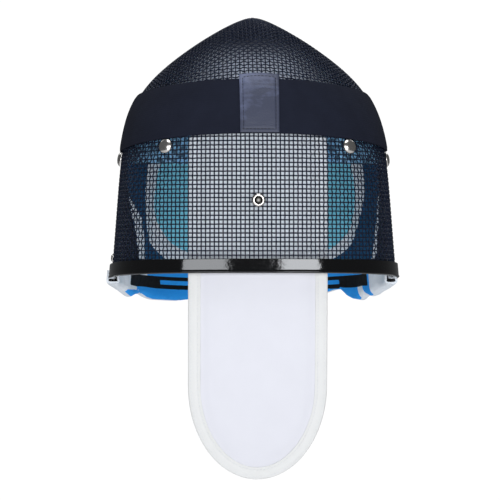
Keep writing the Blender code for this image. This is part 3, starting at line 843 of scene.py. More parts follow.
def crown_cloth():
    """Thin dyed lining cloth without gloss: nearly black with a blue cast, pale grey over the
    brow as a painted highlight, which shows as light dots between the wires above the strap."""
    made, tree, shader = blank_material("lining_cloth")
    place = add(tree, "ShaderNodeTexCoord").outputs["Object"]
    # blotches about 3 mm across
    blotches = add(tree, "ShaderNodeTexNoise", {"Vector": place, "Scale": 300.0, "Detail": 3.0})
    tone = add(tree, "ShaderNodeValToRGB", {"Fac": blotches.outputs["Fac"]})
    dark, light = tone.color_ramp.elements
    dark.color = linear("#10131c")
    light.color = linear("#1b1f2c")
    spread = add(tree, "ShaderNodeSeparateXYZ", {0: place})
    aside = add(tree, "ShaderNodeMath", {0: spread.outputs["X"], 1: 0.005}, operation="SUBTRACT")
    reach = add(tree, "ShaderNodeMath", {0: aside.outputs[0]}, operation="ABSOLUTE")
    # painted highlight: pale grey over the brow, low down and near the middle
    low, near = [
        add(tree, "ShaderNodeMapRange", {
            "Value": value, "From Min": start, "From Max": end, "To Min": 1.0, "To Max": 0.0},
            interpolation_type="SMOOTHSTEP").outputs["Result"]
        for value, start, end in ((spread.outputs["Z"], -0.034, -0.012),
                                  (reach.outputs[0], 0.01, 0.08))]
    brow_highlight = add(tree, "ShaderNodeMath", {0: low, 1: near}, operation="MULTIPLY")
    shown = add(tree, "ShaderNodeMix", {
        0: brow_highlight.outputs[0], 6: tone.outputs["Color"], 7: linear("#e6eaf5")}, data_type="RGBA")
    fill(shader, Base_Color=shown.outputs[2], Roughness=0.95, Specular_IOR_Level=0.1)
    return made


def chromed_steel():
    """Pressed steel, nickel and chrome plated: bright, slightly warm, a little uneven in
    gloss, with painted shade, near black and rougher, where a socket is deep."""
    made, tree, shader = blank_material("chrome")
    place = add(tree, "ShaderNodeTexCoord").outputs["Object"]
    # blotches about 2.5 mm across
    blotches = add(tree, "ShaderNodeTexNoise", {"Vector": place, "Scale": 400.0, "Detail": 2.0})
    # painted shade: near black and rougher where the socket is deep
    socket_shade = add(tree, "ShaderNodeAttribute", attribute_name="socket_shade").outputs["Fac"]
    clean = add(tree, "ShaderNodeMapRange", {
        "Value": blotches.outputs["Fac"], "To Min": 0.16, "To Max": 0.28})
    rough = add(tree, "ShaderNodeMath", {0: socket_shade, 1: 0.5, 2: clean.outputs["Result"]},
                operation="MULTIPLY_ADD")
    tone = add(tree, "ShaderNodeMix", {0: socket_shade, 6: linear("#d8d3cd"), 7: linear("#14130f")},
               data_type="RGBA")
    fill(shader, Base_Color=tone.outputs[2], Roughness=rough.outputs[0], Metallic=1.0)
    return made


def sewing_thread(name, code):
    """Twisted polyester thread: slightly shiny, with the twist just visible."""
    made, tree, shader = blank_material(name)
    place = add(tree, "ShaderNodeTexCoord").outputs["Object"]
    # turns of the twist about 0.4 mm apart
    twist = add(tree, "ShaderNodeTexNoise", {"Vector": place, "Scale": 2500.0})
    bump = add(tree, "ShaderNodeBump", {
        "Height": twist.outputs["Fac"], "Strength": 0.3, "Distance": 0.0001})
    fill(shader, Base_Color=linear(code), Roughness=0.6, Normal=bump.outputs["Normal"])
    return made


# ---------------------------------------------------------------- wire cloth

def run_lengths(points):
    """How far along a curve each of its points lies."""
    return np.concatenate([[0.0], np.cumsum(np.linalg.norm(np.diff(points, axis=0), axis=1))])


def evenly(points, spacing):
    """The points of a curve that lie one spacing apart along it."""
    run = run_lengths(points)
    at = np.arange(0.0, run[-1], spacing)
    return np.stack([np.interp(at, run, points[:, axis]) for axis in range(3)], axis=-1)


def weave(up, across, spacing):
    """Crossings of the wires woven from two seed wires that start at one crossing.  Each
    new crossing lies one spacing from both its neighbours, on the dome's outer face, as
    where flat wire cloth is pressed over a form."""
    rows, columns = len(up), len(across)
    grid = np.full((rows, columns, 3), np.nan)
    grid[:, 0] = up
    grid[0] = across
    for diagonal in range(2, rows + columns - 1):
        row = np.arange(max(1, diagonal - columns + 1), min(rows, diagonal))
        column = diagonal - row
        known = np.isfinite(
            grid[row - 1, column] + grid[row, column - 1] + grid[row - 1, column - 1]).all(axis=1)
        if not known.any():
            break
        row, column = row[known], column[known]
        below, beside = grid[row - 1, column], grid[row, column - 1]
        corner = grid[row - 1, column - 1]
        point = below + beside - corner
        for _ in range(SETTLE_ROUNDS):
            lean = slope(point)
            matrix = np.stack([point - below, point - beside, lean], axis=1)
            miss = np.stack([
                (((point - below) ** 2).sum(axis=1) - spacing ** 2) / 2,
                (((point - beside) ** 2).sum(axis=1) - spacing ** 2) / 2,
                form_measure(point) - 1.0], axis=1)
            matrix = matrix + np.eye(3) * 1e-9
            move = np.linalg.solve(matrix, miss[..., None])[..., 0]
            reach = np.linalg.norm(move, axis=1, keepdims=True)
            point = point - move * np.minimum(1.0, spacing * 0.5 / np.maximum(reach, 1e-9))
        open_enough = np.linalg.norm(point - corner, axis=1) > LEAST_ANGLE * spacing
        apart = np.linalg.norm(below - beside, axis=1) > LEAST_ANGLE * spacing
        settled = np.abs(form_measure(point) - 1.0) < SETTLED
        good = open_enough & apart & settled
        grid[row[good], column[good]] = point[good]
    return grid


def woven_half(centre, start, across, spacing):
    """A half's crossings, woven from its centre line, up and down from its level point,
    and from a wire across it; the other side is its mirror image."""
    upper = weave(evenly(centre[start:], spacing), across, spacing)
    lower = weave(evenly(centre[start::-1], spacing), across, spacing)
    half = np.concatenate([lower[:0:-1], upper])
    mirrored = half[:, :0:-1] * np.array([-1.0, 1.0, 1.0])
    return np.concatenate([mirrored, half], axis=1)


def centre_line(lowest, facing, height):
    """The outer face on the centre plane, from a lowest angle up, and where it is level."""
    turn = np.radians(np.linspace(lowest, 100.0, SEED_STEPS))
    direction = np.stack([np.zeros_like(turn), facing * np.cos(turn), np.sin(turn)], axis=-1)
    return cast(np.array([0.0, SIDE_Y, height]), direction), int(np.argmin(np.abs(turn)))


def back_net(spacing):
    """Wires of the back half, woven from its centre line and a level wire."""
    centre, start = centre_line(-40.0, -1.0, BACK_SEED_HEIGHT)
    level = at_height(np.linspace(-90.0, 12.0, SEED_STEPS), BACK_SEED_HEIGHT)
    return woven_half(centre, start, evenly(level, spacing), spacing)


def front_net(spacing):
    """Wires of the face, woven from the ridge and a wire square to it."""
    ridge, start = centre_line(-48.0, 1.0, FACE_SEED_HEIGHT)
    lean = ridge[start + 8] - ridge[start - 8]
    tilt = lean[1] / lean[2]
    height = ridge[start, 2] + tilt * ridge[start, 1]
    cross = at_height(np.linspace(90.0, -12.0, SEED_STEPS), height, tilt)
    return woven_half(ridge, start, evenly(cross, spacing), spacing)


def kept(points, facing):
    """How far inside the half's own edges each point lies: above 0 it is kept."""
    rim = points[..., 2] + RIM_SLOPE * points[..., 1] - MESH_EDGE
    seam = (points[..., 1] - SIDE_Y) * facing
    return np.minimum(rim, seam)


def wire_runs(grid, facing, parity, along_rows):
    """Crimped wires along one direction of the grid, cut off at the half's edges."""
    runs = []
    inward = -normals(np.nan_to_num(grid, nan=50.0))
    if not along_rows:
        grid, inward = grid.swapaxes(0, 1), inward.swapaxes(0, 1)
    for line, (points, depth) in enumerate(zip(grid, inward)):
        swing = np.where((np.arange(len(points)) + line) % 2 == 0, parity, -parity)
        inside = kept(points, facing) > 0
        step = 0
        while step < len(points):
            if not inside[step]:
                step += 1
                continue
            end = step
            while end + 1 < len(points) and inside[end + 1]:
                end += 1
            runs.append(crimped(points, depth, swing, step, end, facing))
            step = end + 1
    return [run for run in runs if len(run) > 2]


def crimped(points, depth, swing, first, last, facing):
    """One wire through its crossings, level over each and sloping between them."""
    made = []
    for number in range(first, last + 1):
        for share in (-FLAT_SHARE, FLAT_SHARE):
            other = number + (1 if share > 0 else -1)
            if not 0 <= other < len(points) or not np.isfinite(points[other]).all():
                continue
            point = points[number] + (points[other] - points[number]) * abs(share)
            made.append(point + depth[number] * (WIRE_DEPTH + CRIMP * swing[number]))
    for number, beyond, place in ((first, first - 1, 0), (last, last + 1, len(made))):
        if 0 <= beyond < len(points) and np.isfinite(points[beyond]).all():
            here, there = kept(points[number], facing), kept(points[beyond], facing)
            share = here / (here - there)
            if share > LEAST_STUB:
                end = points[number] + (points[beyond] - points[number]) * share
                made.insert(place, end + depth[number] * WIRE_DEPTH)
    return np.array(made)


def wire_tree():
    """Lines become round wires."""
    tree, start = node_tree("wire", [
        ("Thickness", "Float"), ("Sides", "Int"), ("Finish", "Material")])
    curve = add(tree, "GeometryNodeMeshToCurve", {"Mesh": start.outputs["Geometry"]})
    radius = add(tree, "ShaderNodeMath", {0: start.outputs["Thickness"], 1: 0.5},
                 operation="MULTIPLY")
    circle = add(tree, "GeometryNodeCurvePrimitiveCircle", {
        "Resolution": start.outputs["Sides"], "Radius": radius.outputs[0]})
    tube = add(tree, "GeometryNodeCurveToMesh", {
        "Curve": curve.outputs[0], "Profile Curve": circle.outputs[0], "Fill Caps": True})
    shaded = add(tree, "GeometryNodeSetShadeSmooth", {"Geometry": tube.outputs[0]})
    end_tree(tree, shaded.outputs[0], start.outputs["Finish"])
    return tree


class MASK_OT_wire_cloth(bpy.types.Operator):
    """Weave the two halves of the dome from painted wire"""
    bl_idname = "mask.wire_cloth"
    bl_label = "Wire Cloth"

    def execute(self, context):
        finish = painted_wire()
        tree = wire_tree()
        spacing = sizes().spacing / MM
        values = {"Thickness": sizes().wire, "Sides": sizes().wire_sides, "Finish": finish}
        for node, facing, net in (("back_mesh", -1, back_net), ("front_mesh", 1, front_net)):
            grid = net(spacing)
            for label, along_rows, parity in (("across", True, 1), ("upright", False, -1)):
                name = node.replace("mesh", "wires_") + label
                runs = wire_runs(grid, facing, parity, along_rows)
                made = grow(name, lines(name, runs), tree, values)
                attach(made, "root")
                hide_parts(node)
        return {"FINISHED"}


class MASK_OT_seam(bpy.types.Operator):
    """Hem the two halves of the dome with a pair of thicker wires"""
    bl_idname = "mask.seam"
    bl_label = "Seam Hem"

    def execute(self, context):
        turn = np.radians(np.linspace(-12.0, 192.0, HEM_STEPS))
        direction = np.stack([np.cos(turn), np.zeros_like(turn), np.sin(turn)], axis=-1)
        seam = cast(np.array([0.0, SIDE_Y, HEM_AXIS_HEIGHT]), direction)
        seam = seam[seam[:, 2] > MESH_EDGE + HEM_START - RIM_SLOPE * SIDE_Y]
        middle = seam - normals(seam) * WIRE_DEPTH
        forward = np.array([0.0, HEM_APART / 2, 0.0])
        values = {"Thickness": HEM_WIRE * MM, "Sides": HEM_SIDES,
                  "Finish": bpy.data.materials["painted_wire"]}
        made = grow("seam_hem", lines("seam_hem", [middle - forward, middle + forward]),
                    bpy.data.node_groups["wire"], values)
        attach(made, "root")
        return {"FINISHED"}


# ---------------------------------------------------------------- trim

class MASK_OT_trim(bpy.types.Operator):
    """Bind the rim with glossy, slightly creased vinyl"""
    bl_idname = "mask.trim"
    bl_label = "Rim Trim"

    def execute(self, context):
        outside = TRIM_GAP + TRIM_WALL
        hollow = -MESH_WALL - TRIM_GAP
        inside = hollow - TRIM_WALL
        lip = outside + TRIM_LIP
        top = TRIM_HEIGHT
        profile = [(outside - 0.75, 0.0), (outside - 0.2, 0.2), (lip, 0.75), (lip, 1.15)]
        profile += [(outside, rise) for rise in (1.6, 3.2, 5.0, 6.8, 8.4, 9.3, 10.0)]
        profile += [
            (outside - 0.1, top), (outside - 0.4, top + 0.1), (TRIM_GAP, top),
            (TRIM_GAP, TRIM_FLOOR), (hollow, TRIM_FLOOR), (hollow, top),
            (inside + 0.4, top + 0.1), (inside, top - 0.3),
            (inside, 8.0), (inside, 5.0), (inside, 2.0), (inside + 0.2, 0.4), (inside + 0.75, 0.0)]
        angles = np.arange(TRIM_SECTIONS) * 360.0 / TRIM_SECTIONS
        rings = []
        for away, rise in profile:
            wall = above_rim(angles, rise)
            amount = np.full(TRIM_SECTIONS, away)
            if abs(away - outside) < 0.5 and 1.0 < rise < 10.0:
                for size, seed in TRIM_CREASES:
                    amount = amount + ripple(wall, size, seed) * sizes().crinkle / MM
            rings.append(set_off(wall, amount, flat=True))
        made = piece("rim_binding", *swept(np.stack(rings, axis=1), True), black_vinyl(), sharp=50.0)
        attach(made, "root")
        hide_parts("rim_trim")
        return {"FINISHED"}


# ---------------------------------------------------------------- strap and patch

def band_points(angles, low, high, rows):
    """A grid of points on the dome's outer face between two edges."""
    share = np.linspace(0.0, 1.0, rows)[:, None]
    return at_height(np.asarray(angles)[None, :], low + (high - low) * share), share


def how_far_forward(angles):
    """How far the strap's level lies from the back wall at some angles."""
    return at_height(angles, STRAP_GUIDE_HEIGHT)[..., 1]


def strap_edges(angles):
    forward = how_far_forward(angles)
    fall = np.clip(forward / STRAP_TURN, 0.0, 1.0) ** STRAP_TURN_POWER
    high = STRAP_HIGH - STRAP_HIGH_FALL * np.sqrt(np.maximum(forward, 0.0) / SIDE_Y)
    return STRAP_LOW - STRAP_LOW_FALL * fall, high


def stitch_tree():
    """Short rounded stitches along lines."""
    tree, start = node_tree("stitches", [
        ("Spacing", "Float"), ("Length", "Float"), ("Thickness", "Float"), ("Finish", "Material")])
    curve = add(tree, "GeometryNodeMeshToCurve", {"Mesh": start.outputs["Geometry"]})
    even = add(tree, "GeometryNodeResampleCurve", {
        "Curve": curve.outputs[0], "Length": start.outputs["Spacing"]}, mode="LENGTH")
    tangent = add(tree, "GeometryNodeInputTangent")
    turn = add(tree, "FunctionNodeAlignEulerToVector", {"Vector": tangent.outputs[0]}, axis="Z")
    capsule = add(tree, "GeometryNodeMeshUVSphere", {"Segments": 6, "Rings": 5, "Radius": 0.5})
    thickness, length = start.outputs["Thickness"], start.outputs["Length"]
    size = add(tree, "ShaderNodeCombineXYZ", {"X": thickness, "Y": thickness, "Z": length})
    stitch = add(tree, "GeometryNodeInstanceOnPoints", {
        "Points": even.outputs[0], "Instance": capsule.outputs[0],
        "Rotation": turn.outputs[0], "Scale": size.outputs[0]})
    shaded = add(tree, "GeometryNodeSetShadeSmooth", {"Geometry": stitch.outputs[0]})
    end_tree(tree, shaded.outputs[0], start.outputs["Finish"])
    return tree


def sew(name, runs, finish):
    """Rows of stitches along lines given in the rim's frame."""
    tree = bpy.data.node_groups.get("stitches") or stitch_tree()
    values = {"Spacing": sizes().stitch, "Length": sizes().stitch * (1 - STITCH_GAP),
              "Thickness": sizes().thread, "Finish": finish}
    made = grow(name, lines(name, runs), tree, values)
    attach(made, "root")
    return made


class MASK_OT_strap(bpy.types.Operator):
    """Lay the woven elastic strap round the back of the dome"""
    bl_idname = "mask.strap"
    bl_label = "Head Strap"

    def execute(self, context):
        angles = np.linspace(-90 - STRAP_REACH, -90 + STRAP_REACH, STRAP_COLUMNS)
        low, high = strap_edges(angles)
        points, share = band_points(angles, low, high, STRAP_ROWS)
        edge = np.minimum(share, 1 - share) * 2
        round_off = STRAP_ROUND * (1 - smooth(edge / STRAP_ROUND_SHARE))
        swell = ripple(points, STRAP_SWELL_SIZE, 11) * STRAP_SWELL
        outer = set_off(points, STRAP_GAP + STRAP_WALL - round_off + swell)
        inner = set_off(points, STRAP_GAP + round_off * 0.5 + np.maximum(swell, 0.0) * 0.5)
        made = piece("elastic_strap", *wall_between(outer, inner), dark_elastic())
        along = np.broadcast_to(run_lengths(points[STRAP_ROWS // 2]), points.shape[:2])
        across = np.broadcast_to(share * (STRAP_HIGH - STRAP_LOW), points.shape[:2])
        store_uv(made.data, "run", along, across)
        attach(made, "root")
        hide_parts("head_strap")
        ends = [outer[1:-1, column] for column in STRAP_SEAMS]
        sew("strap_stitches", ends, sewing_thread("dark_thread", "#15161d"))
        return {"FINISHED"}


def patch_grid(off, shrink=0.0):
    """Points over the strap's middle, off the dome's face, shrunk on all sides."""
    across = np.linspace(-1.0, 1.0, PATCH_COLUMNS)
    share = np.linspace(0.0, 1.0, PATCH_ROWS)[:, None]
    low = PATCH_LOW + shrink
    high = PATCH_HIGH - PATCH_ARCH * across ** 2 - shrink
    points = on_back(PATCH_ASIDE + across * (PATCH_HALF_WIDTH - shrink), low + (high - low) * share)
    return set_off(points, off), across, share


class MASK_OT_patch(bpy.types.Operator):
    """Sew the leatherette patch over the middle of the strap"""
    bl_idname = "mask.patch"
    bl_label = "Strap Patch"

    def execute(self, context):
        under = 2 * STRAP_GAP + STRAP_WALL
        flat, across, share = patch_grid(0.0)
        side = (1 - np.abs(across))[None, :] * PATCH_HALF_WIDTH
        end = np.minimum(share, 1 - share) * (PATCH_HIGH - PATCH_LOW)
        edge = np.minimum(side, end)
        groove = np.exp(-((edge - PATCH_SEAM) / PATCH_GROOVE_WIDTH) ** 2) * PATCH_GROOVE
        swell = smooth(edge / PATCH_SWELL_RUN) * PATCH_SWELL
        uneven = ripple(flat, PATCH_DENTS, 21) * PATCH_DENT_DEPTH * smooth((edge - 3.0) / 2.0)
        outer = patch_grid(under + PATCH_WALL - PATCH_SWELL + swell - groove + uneven)[0]
        inner = patch_grid(under)[0]
        made = piece("leatherette_patch", *wall_between(outer, inner), leatherette())
        right = np.broadcast_to((across[None, :] + 1) * PATCH_HALF_WIDTH, flat.shape[:2])
        store_uv(made.data, "patch", right, flat[..., 2] - PATCH_LOW)
        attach(made, "root")
        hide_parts("strap_patch")
        seam = patch_grid(under + PATCH_WALL - 0.15, PATCH_SEAM)[0]
        run = np.concatenate([seam[0], seam[1:, -1], seam[-1, -2::-1], seam[-2::-1, 0]])
        sew("patch_stitches", [run], sewing_thread("patch_thread", "#1d1f2b"))
        return {"FINISHED"}


# ---------------------------------------------------------------- tongue

def tongue_surface(x, z):
    """Middle layer of the tongue: bent like the back wall, leaning in below the rim."""
    wall = on_back(x, np.maximum(z, 0.0))[..., 1]
    below = np.clip(z / TONGUE_BOTTOM, 0.0, 1.0)
    past_trim = smooth((STANDOFF_START - z) / STANDOFF_RUN)
    away = TONGUE_STANDOFF + (TRIM_STANDOFF - TONGUE_STANDOFF) * past_trim
    return np.stack([x, wall + away + TONGUE_FORWARD * below ** TONGUE_LEAN_POWER, z], axis=-1)


def tongue_layer(ring, height):
    """Points a given height in front of the middle layer, towards the back wall."""
    x, z = ring[..., 0], ring[..., 1]
    step = 0.5
    across = tongue_surface(x + step, z) - tongue_surface(x - step, z)
    along = tongue_surface(x, z + step) - tongue_surface(x, z - step)
    facing = unit(np.cross(across, along))
    return tongue_surface(x, z) + facing * np.broadcast_to(height, x.shape)[..., None]


def tongue_outline():
    """The tongue's edge in (x, z), once round, starting at the top centre."""
    drop = TONGUE_ROUND_START - TONGUE_BOTTOM
    right = [(x, TONGUE_TOP) for x in np.linspace(0.0, TONGUE_HALF_WIDTH - TONGUE_CORNER, 14)[:-1]]
    for turn in np.radians(np.linspace(90.0, 0.0, 9)):
        right.append((TONGUE_HALF_WIDTH - TONGUE_CORNER * (1 - math.cos(turn)),
                      TONGUE_TOP - TONGUE_CORNER * (1 - math.sin(turn))))
    straight = np.linspace(TONGUE_TOP - TONGUE_CORNER, TONGUE_ROUND_START, 62)[1:-1]
    right.extend((TONGUE_HALF_WIDTH, height) for height in straight)
    for turn in np.radians(np.linspace(0.0, 90.0, 36)):
        right.append((TONGUE_HALF_WIDTH * math.cos(turn),
                      TONGUE_ROUND_START - drop * math.sin(turn)))
    left = [(-x, z) for x, z in reversed(right[1:-1])]
    return np.array(right + left)


def inset(outline, distance):
    """A closed outline moved inwards, along the normals at its points."""
    along = np.roll(outline, -1, axis=0) - np.roll(outline, 1, axis=0)
    return outline + unit(np.stack([along[:, 1], -along[:, 0]], axis=-1)) * distance


class MASK_OT_tongue(bpy.types.Operator):
    """Make the tongue's padded panel and sew its binding on"""
    bl_idname = "mask.tongue"
    bl_label = "Tongue"

    def execute(self, context):
        outline = tongue_outline()
        half = PANEL_WALL / 2
        pinched = half * PANEL_PINCH
        covered = inset(outline, BINDING_WIDTH)
        spine = np.stack([outline[:, 0] * 0.0,
                          np.clip(outline[:, 1], TONGUE_BOTTOM + 60, TONGUE_TOP - 30)], axis=-1)
        rings = [(inset(outline, BINDING_WALL + 0.3), pinched), (inset(outline, 5.0), pinched)]
        for share in PANEL_SHARES:
            swell = PANEL_PINCH + (1 - PANEL_PINCH) * smooth(share / PANEL_SWELL_RUN)
            rings.append((covered + (spine - covered) * share, half * swell))
        both = [(ring, height) for ring, height in reversed(rings)]
        both += [(ring, -height) for ring, height in rings]
        flat = np.stack([ring for ring, _ in both])
        layers = [tongue_layer(ring, height) for ring, height in both]
        points, faces = swept(np.stack(layers), False)
        panel = new_mesh("tongue_cloth", to_row(points), faces=faces[:-2])
        store_uv(panel, "cut", flat[..., 0], flat[..., 1])
        outward(panel, weld=PANEL_WELD * MM)
        panel.materials.append(woven_cloth("white_cloth", colours().panel, 0.6, 0.7))
        panel.shade_smooth()
        made = link("tongue_cloth", panel)
        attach(made, "root")
        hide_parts("tongue_panel")
        self.bind(outline, pinched)
        return {"FINISHED"}

    def bind(self, outline, half):
        """The binding is a U of tape over the panel's edge, sewn in two rows."""
        inner = half + BINDING_GAP
        outer = inner + BINDING_WALL
        profile = [(0.0, 0.0), (0.15, outer * 0.6), (0.7, outer * 0.95), (1.6, outer),
                   (3.0, outer + 0.15), (4.5, outer + 0.2), (6.0, outer + 0.1), (7.2, outer - 0.25),
                   (8.0, outer), (BINDING_WIDTH, outer - 0.05), (BINDING_WIDTH, inner),
                   (BINDING_WALL, inner)]
        profile += [(distance, -height) for distance, height in reversed(profile[1:])]
        cut = [inset(outline, distance) for distance, _ in profile]
        layers = [tongue_layer(ring, height) for ring, (_, height) in zip(cut, profile)]
        tape = woven_cloth("off_white_binding", colours().binding, 0.8, 0.8, 0.0002)
        made = piece("tongue_tape", *swept(np.stack(layers, axis=1), True), tape, sharp=60.0)
        cut = np.stack(cut, axis=1)
        store_uv(made.data, "cut", cut[..., 0], cut[..., 1])
        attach(made, "root")
        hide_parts("tongue_binding")
        rows = []
        for distance in BINDING_SEAMS:
            ring = tongue_layer(inset(outline, distance), outer - 0.02)
            rows.append(np.concatenate([ring, ring[:1]]))
        sew("tongue_stitches", rows, sewing_thread("white_thread", "#dcdcdc"))


# ---------------------------------------------------------------- lining

class MASK_OT_lining(bpy.types.Operator):
    """Pad the inside of the dome with a quilted band"""
    bl_idname = "mask.lining"
    bl_label = "Padded Band"

    def execute(self, context):
        end = math.degrees(math.atan2(LINING_END_X, SIDE_Y - LINING_END_Y))
        angles = np.linspace(-90 + end, 270 - end, LINING_COLUMNS)
        rise = LINING_RISE * how_far_forward(angles)
        points, share = band_points(angles, LINING_LOW + rise, LINING_HIGH + rise, LINING_ROWS)
        along = run_lengths(points[LINING_ROWS // 2])
        edge = np.minimum(share, 1 - share) * (LINING_HIGH - LINING_LOW)
        edge = np.minimum(edge, np.minimum(along, along[-1] - along)[None, :])
        quilt = np.abs(np.sin(np.pi * along / QUILT_STEP))[None, :] ** 0.5
        plump = np.sqrt(np.clip(edge / QUILT_ROUND, 0.0, 1.0)) * (0.55 + 0.45 * quilt)
        thick = LINING_EDGE + (LINING_WALL - LINING_EDGE) * plump
        outer = set_off(points, -(LINING_INSET + 0.25 * (1 - plump)))
        inner = set_off(points, -(LINING_INSET + thick))
        made = piece("padded_band", *wall_between(outer, inner), brushed_padding())
        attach(made, "root")
        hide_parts("lining_band")
        self.forehead()
        return {"FINISHED"}

    def forehead(self):
        """Dark cloth that lines the forehead, from the band to the crown."""
        angles = np.linspace(90 - FOREHEAD_REACH, 90 + FOREHEAD_REACH, FOREHEAD_COLUMNS)
        low = LINING_HIGH + LINING_RISE * how_far_forward(angles) + FOREHEAD_RISE
        points, _ = band_points(angles, low, FOREHEAD_TOP, FOREHEAD_ROWS)
        outer = set_off(points, -FOREHEAD_INSET)
        inner = set_off(points, -FOREHEAD_INSET - FOREHEAD_WALL)
        made = piece("forehead_cloth", *wall_between(outer, inner), crown_cloth())
        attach(made, "root")
        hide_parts("forehead_lining")


# ---------------------------------------------------------------- bib

# How far the fold hangs below the rim, by degrees to the picture's left (-) or right (+)
# of the face's centre line
FOLD_DEPTHS = [
    (-86.0, 1.8), (-82.0, 2.6), (-74.0, 4.4), (-66.0, 7.6), (-59.0, 10.2), (-54.0, 7.6), (-48.0, 6.6),
    (-44.0, 9.4), (-40.0, 10.8), (-27.0, 11.0), (-18.0, 8.5), (0.0, 8.0), (28.0, 6.0), (35.0, 2.4),
    (39.5, 2.4), (43.0, 8.6), (46.0, 10.8), (52.0, 12.4), (57.5, 7.6), (62.0, 10.0), (66.0, 9.4),
    (70.0, 7.3), (78.0, 4.4), (86.0, 2.4)]


def fold_depth(turn):
    table = np.array(FOLD_DEPTHS)
    return np.interp(turn, table[:, 0], table[:, 1])


def leaned(turn, rise):
    """Where a column of the bib stands at some height: its sides lean outwards."""
    return turn * (1.0 + (BIB_LEAN / BIB_REACH - 1.0) * smooth(rise / BIB_LEAN_RUN))


def closeness(turn, rise):
    """1 where the tucked part lies close to the wall, at its sides and above the trim."""
    beside = smooth((np.abs(turn) - CLOSE_TURN) / CLOSE_TURN_RUN)
    return beside * smooth((rise - CLOSE_RISE) / CLOSE_RISE_RUN)


def bib_rows(turn):
    """Middle line of the bib at one turn from the centre: distance off the dome's outer
    face, height above the rim plane and how far up the tucked part it lies."""
    away = abs(turn)
    tuck = float(smooth((BIB_REACH - 1.0 - away) / BIB_TUCK_RUN))
    hang = float(fold_depth(turn))
    forward = float(how_far_forward(90.0 - leaned(turn, BIB_FULL_HEIGHT)))
    full_top = LINING_LOW + LINING_RISE * forward - BIB_TOP_GAP + RIM_SLOPE * forward
    top = BIB_LEAST_TOP + (full_top - BIB_LEAST_TOP) * tuck
    ending = float(smooth((away - BIB_END_TURN) / BIB_END_RUN))
    inside = BIB_INSIDE + (BIB_END_INSIDE - BIB_INSIDE) * ending
    middle = (BIB_OUTSIDE - inside) / 2
    swing = (BIB_OUTSIDE + inside) / 2
    collar = np.linspace(BIB_COLLAR, 0.0, COLLAR_ROWS + 1)[:-1]
    rows = [(BIB_OUTSIDE, rise, -1.0) for rise in collar]
    for bend in np.radians(np.linspace(0.0, 180.0, BEND_ROWS)):
        low = -1.0 - (hang - 1.0) * math.sin(bend) ** 0.8
        rows.append((middle + swing * math.cos(bend), low, 0.0))
    for share in np.linspace(0.0, 1.0, TUCK_ROWS + 1)[1:]:
        depth = inside + (BIB_CLOSE - inside) * float(closeness(turn, top * share))
        rows.append((-depth, top * share, share))
    return np.array(rows)


def bib_cloth():
    """Printed polyester cloth: a pale teal middle inside a white line, white edges and black
    tapes along the rim, on royal blue that is darker above the rim as painted shade inside
    the dome.  Matt, softly creased."""
    made, tree, shader = blank_material("bib_cloth")
    place = add(tree, "ShaderNodeUVMap", uv_map="face").outputs["UV"]
    spread = add(tree, "ShaderNodeSeparateXYZ", {0: place})
    height = spread.outputs["Y"]
    # the middle is half a rounded oval, so many degrees to each side and millimetres deep
    aside = add(tree, "ShaderNodeMath", {0: spread.outputs["X"], 1: PRINT_ASIDE},
                operation="SUBTRACT")
    across = add(tree, "ShaderNodeMath", {0: aside.outputs[0], 1: PRINT_HALF_WIDTH},
                 operation="DIVIDE")
    width = add(tree, "ShaderNodeMath", {0: across.outputs[0]}, operation="ABSOLUTE")
    drop = add(tree, "ShaderNodeMath", {0: PRINT_TOP, 1: height}, operation="SUBTRACT")
    down = add(tree, "ShaderNodeMath", {0: drop.outputs[0], 1: PRINT_DEPTH}, operation="DIVIDE")
    depth = add(tree, "ShaderNodeMath", {0: down.outputs[0], 1: 0.0}, operation="MAXIMUM")
    wide, deep = [
        add(tree, "ShaderNodeMath", {0: part.outputs[0], 1: PRINT_SQUARENESS},
            operation="POWER").outputs[0]
        for part in (width, depth)]
    total = add(tree, "ShaderNodeMath", {0: wide, 1: deep}, operation="ADD")
    oval = add(tree, "ShaderNodeMath", {0: total.outputs[0], 1: 1 / PRINT_SQUARENESS},
               operation="POWER").outputs[0]
    above = add(tree, "ShaderNodeMath", {0: height, 1: PRINT_BOTTOM}, operation="GREATER_THAN")
    edge = add(tree, "ShaderNodeMapRange", {
        "Value": aside.outputs[0], "From Min": -1.0, "From Max": 1.0, "To Min": 1.16,
        "To Max": 1.1})
    # painted shade: above the rim the royal blue turns darker, inside the dome
    raised = add(tree, "ShaderNodeMapRange", {"Value": height, "From Min": -2.0, "From Max": 8.0})
    # each cover lies over the ones before it
    white = linear("#eef3f8")
    covers = [(raised.outputs["Result"], tuple(colours().margin))]
    for limit, colour in ((edge.outputs["Result"], white), (1.0, tuple(colours().teal))):
        inside = add(tree, "ShaderNodeMath", {0: oval, 1: limit}, operation="LESS_THAN")
        both = add(tree, "ShaderNodeMath", {0: inside.outputs[0], 1: above.outputs[0]},
                   operation="MULTIPLY")
        covers.append((both.outputs[0], colour))
    for name, colour in (("hem", white), ("tape", linear("#06080e"))):
        share = add(tree, "ShaderNodeAttribute", attribute_name=name).outputs["Fac"]
        covered = add(tree, "ShaderNodeMath", {0: share, 1: 0.5}, operation="GREATER_THAN")
        covers.append((covered.outputs[0], colour))
    shown = tuple(colours().royal)
    for share, colour in covers:
        shown = add(tree, "ShaderNodeMix", {0: share, 6: shown, 7: colour},
                    data_type="RGBA").outputs[2]
    spot = add(tree, "ShaderNodeTexCoord").outputs["Object"]
    # creases about 11 mm apart
    creases = add(tree, "ShaderNodeTexNoise", {"Vector": spot, "Scale": 90.0, "Detail": 3.0})
    bump = add(tree, "ShaderNodeBump", {
        "Height": creases.outputs["Fac"], "Strength": 0.5, "Distance": 0.003})
    fill(shader, Base_Color=shown, Roughness=0.8, Specular_IOR_Level=0.25,
         Normal=bump.outputs["Normal"])
    return made


def soft(amount):
    """0 outside an edge and 1 inside it, across one unit to each side."""
    return np.clip(0.5 + 0.5 * amount, 0.0, 1.0)


def all_of(*parts):
    return np.minimum.reduce(np.broadcast_arrays(*parts))


def any_of(*parts):
    return np.maximum.reduce(np.broadcast_arrays(*parts))


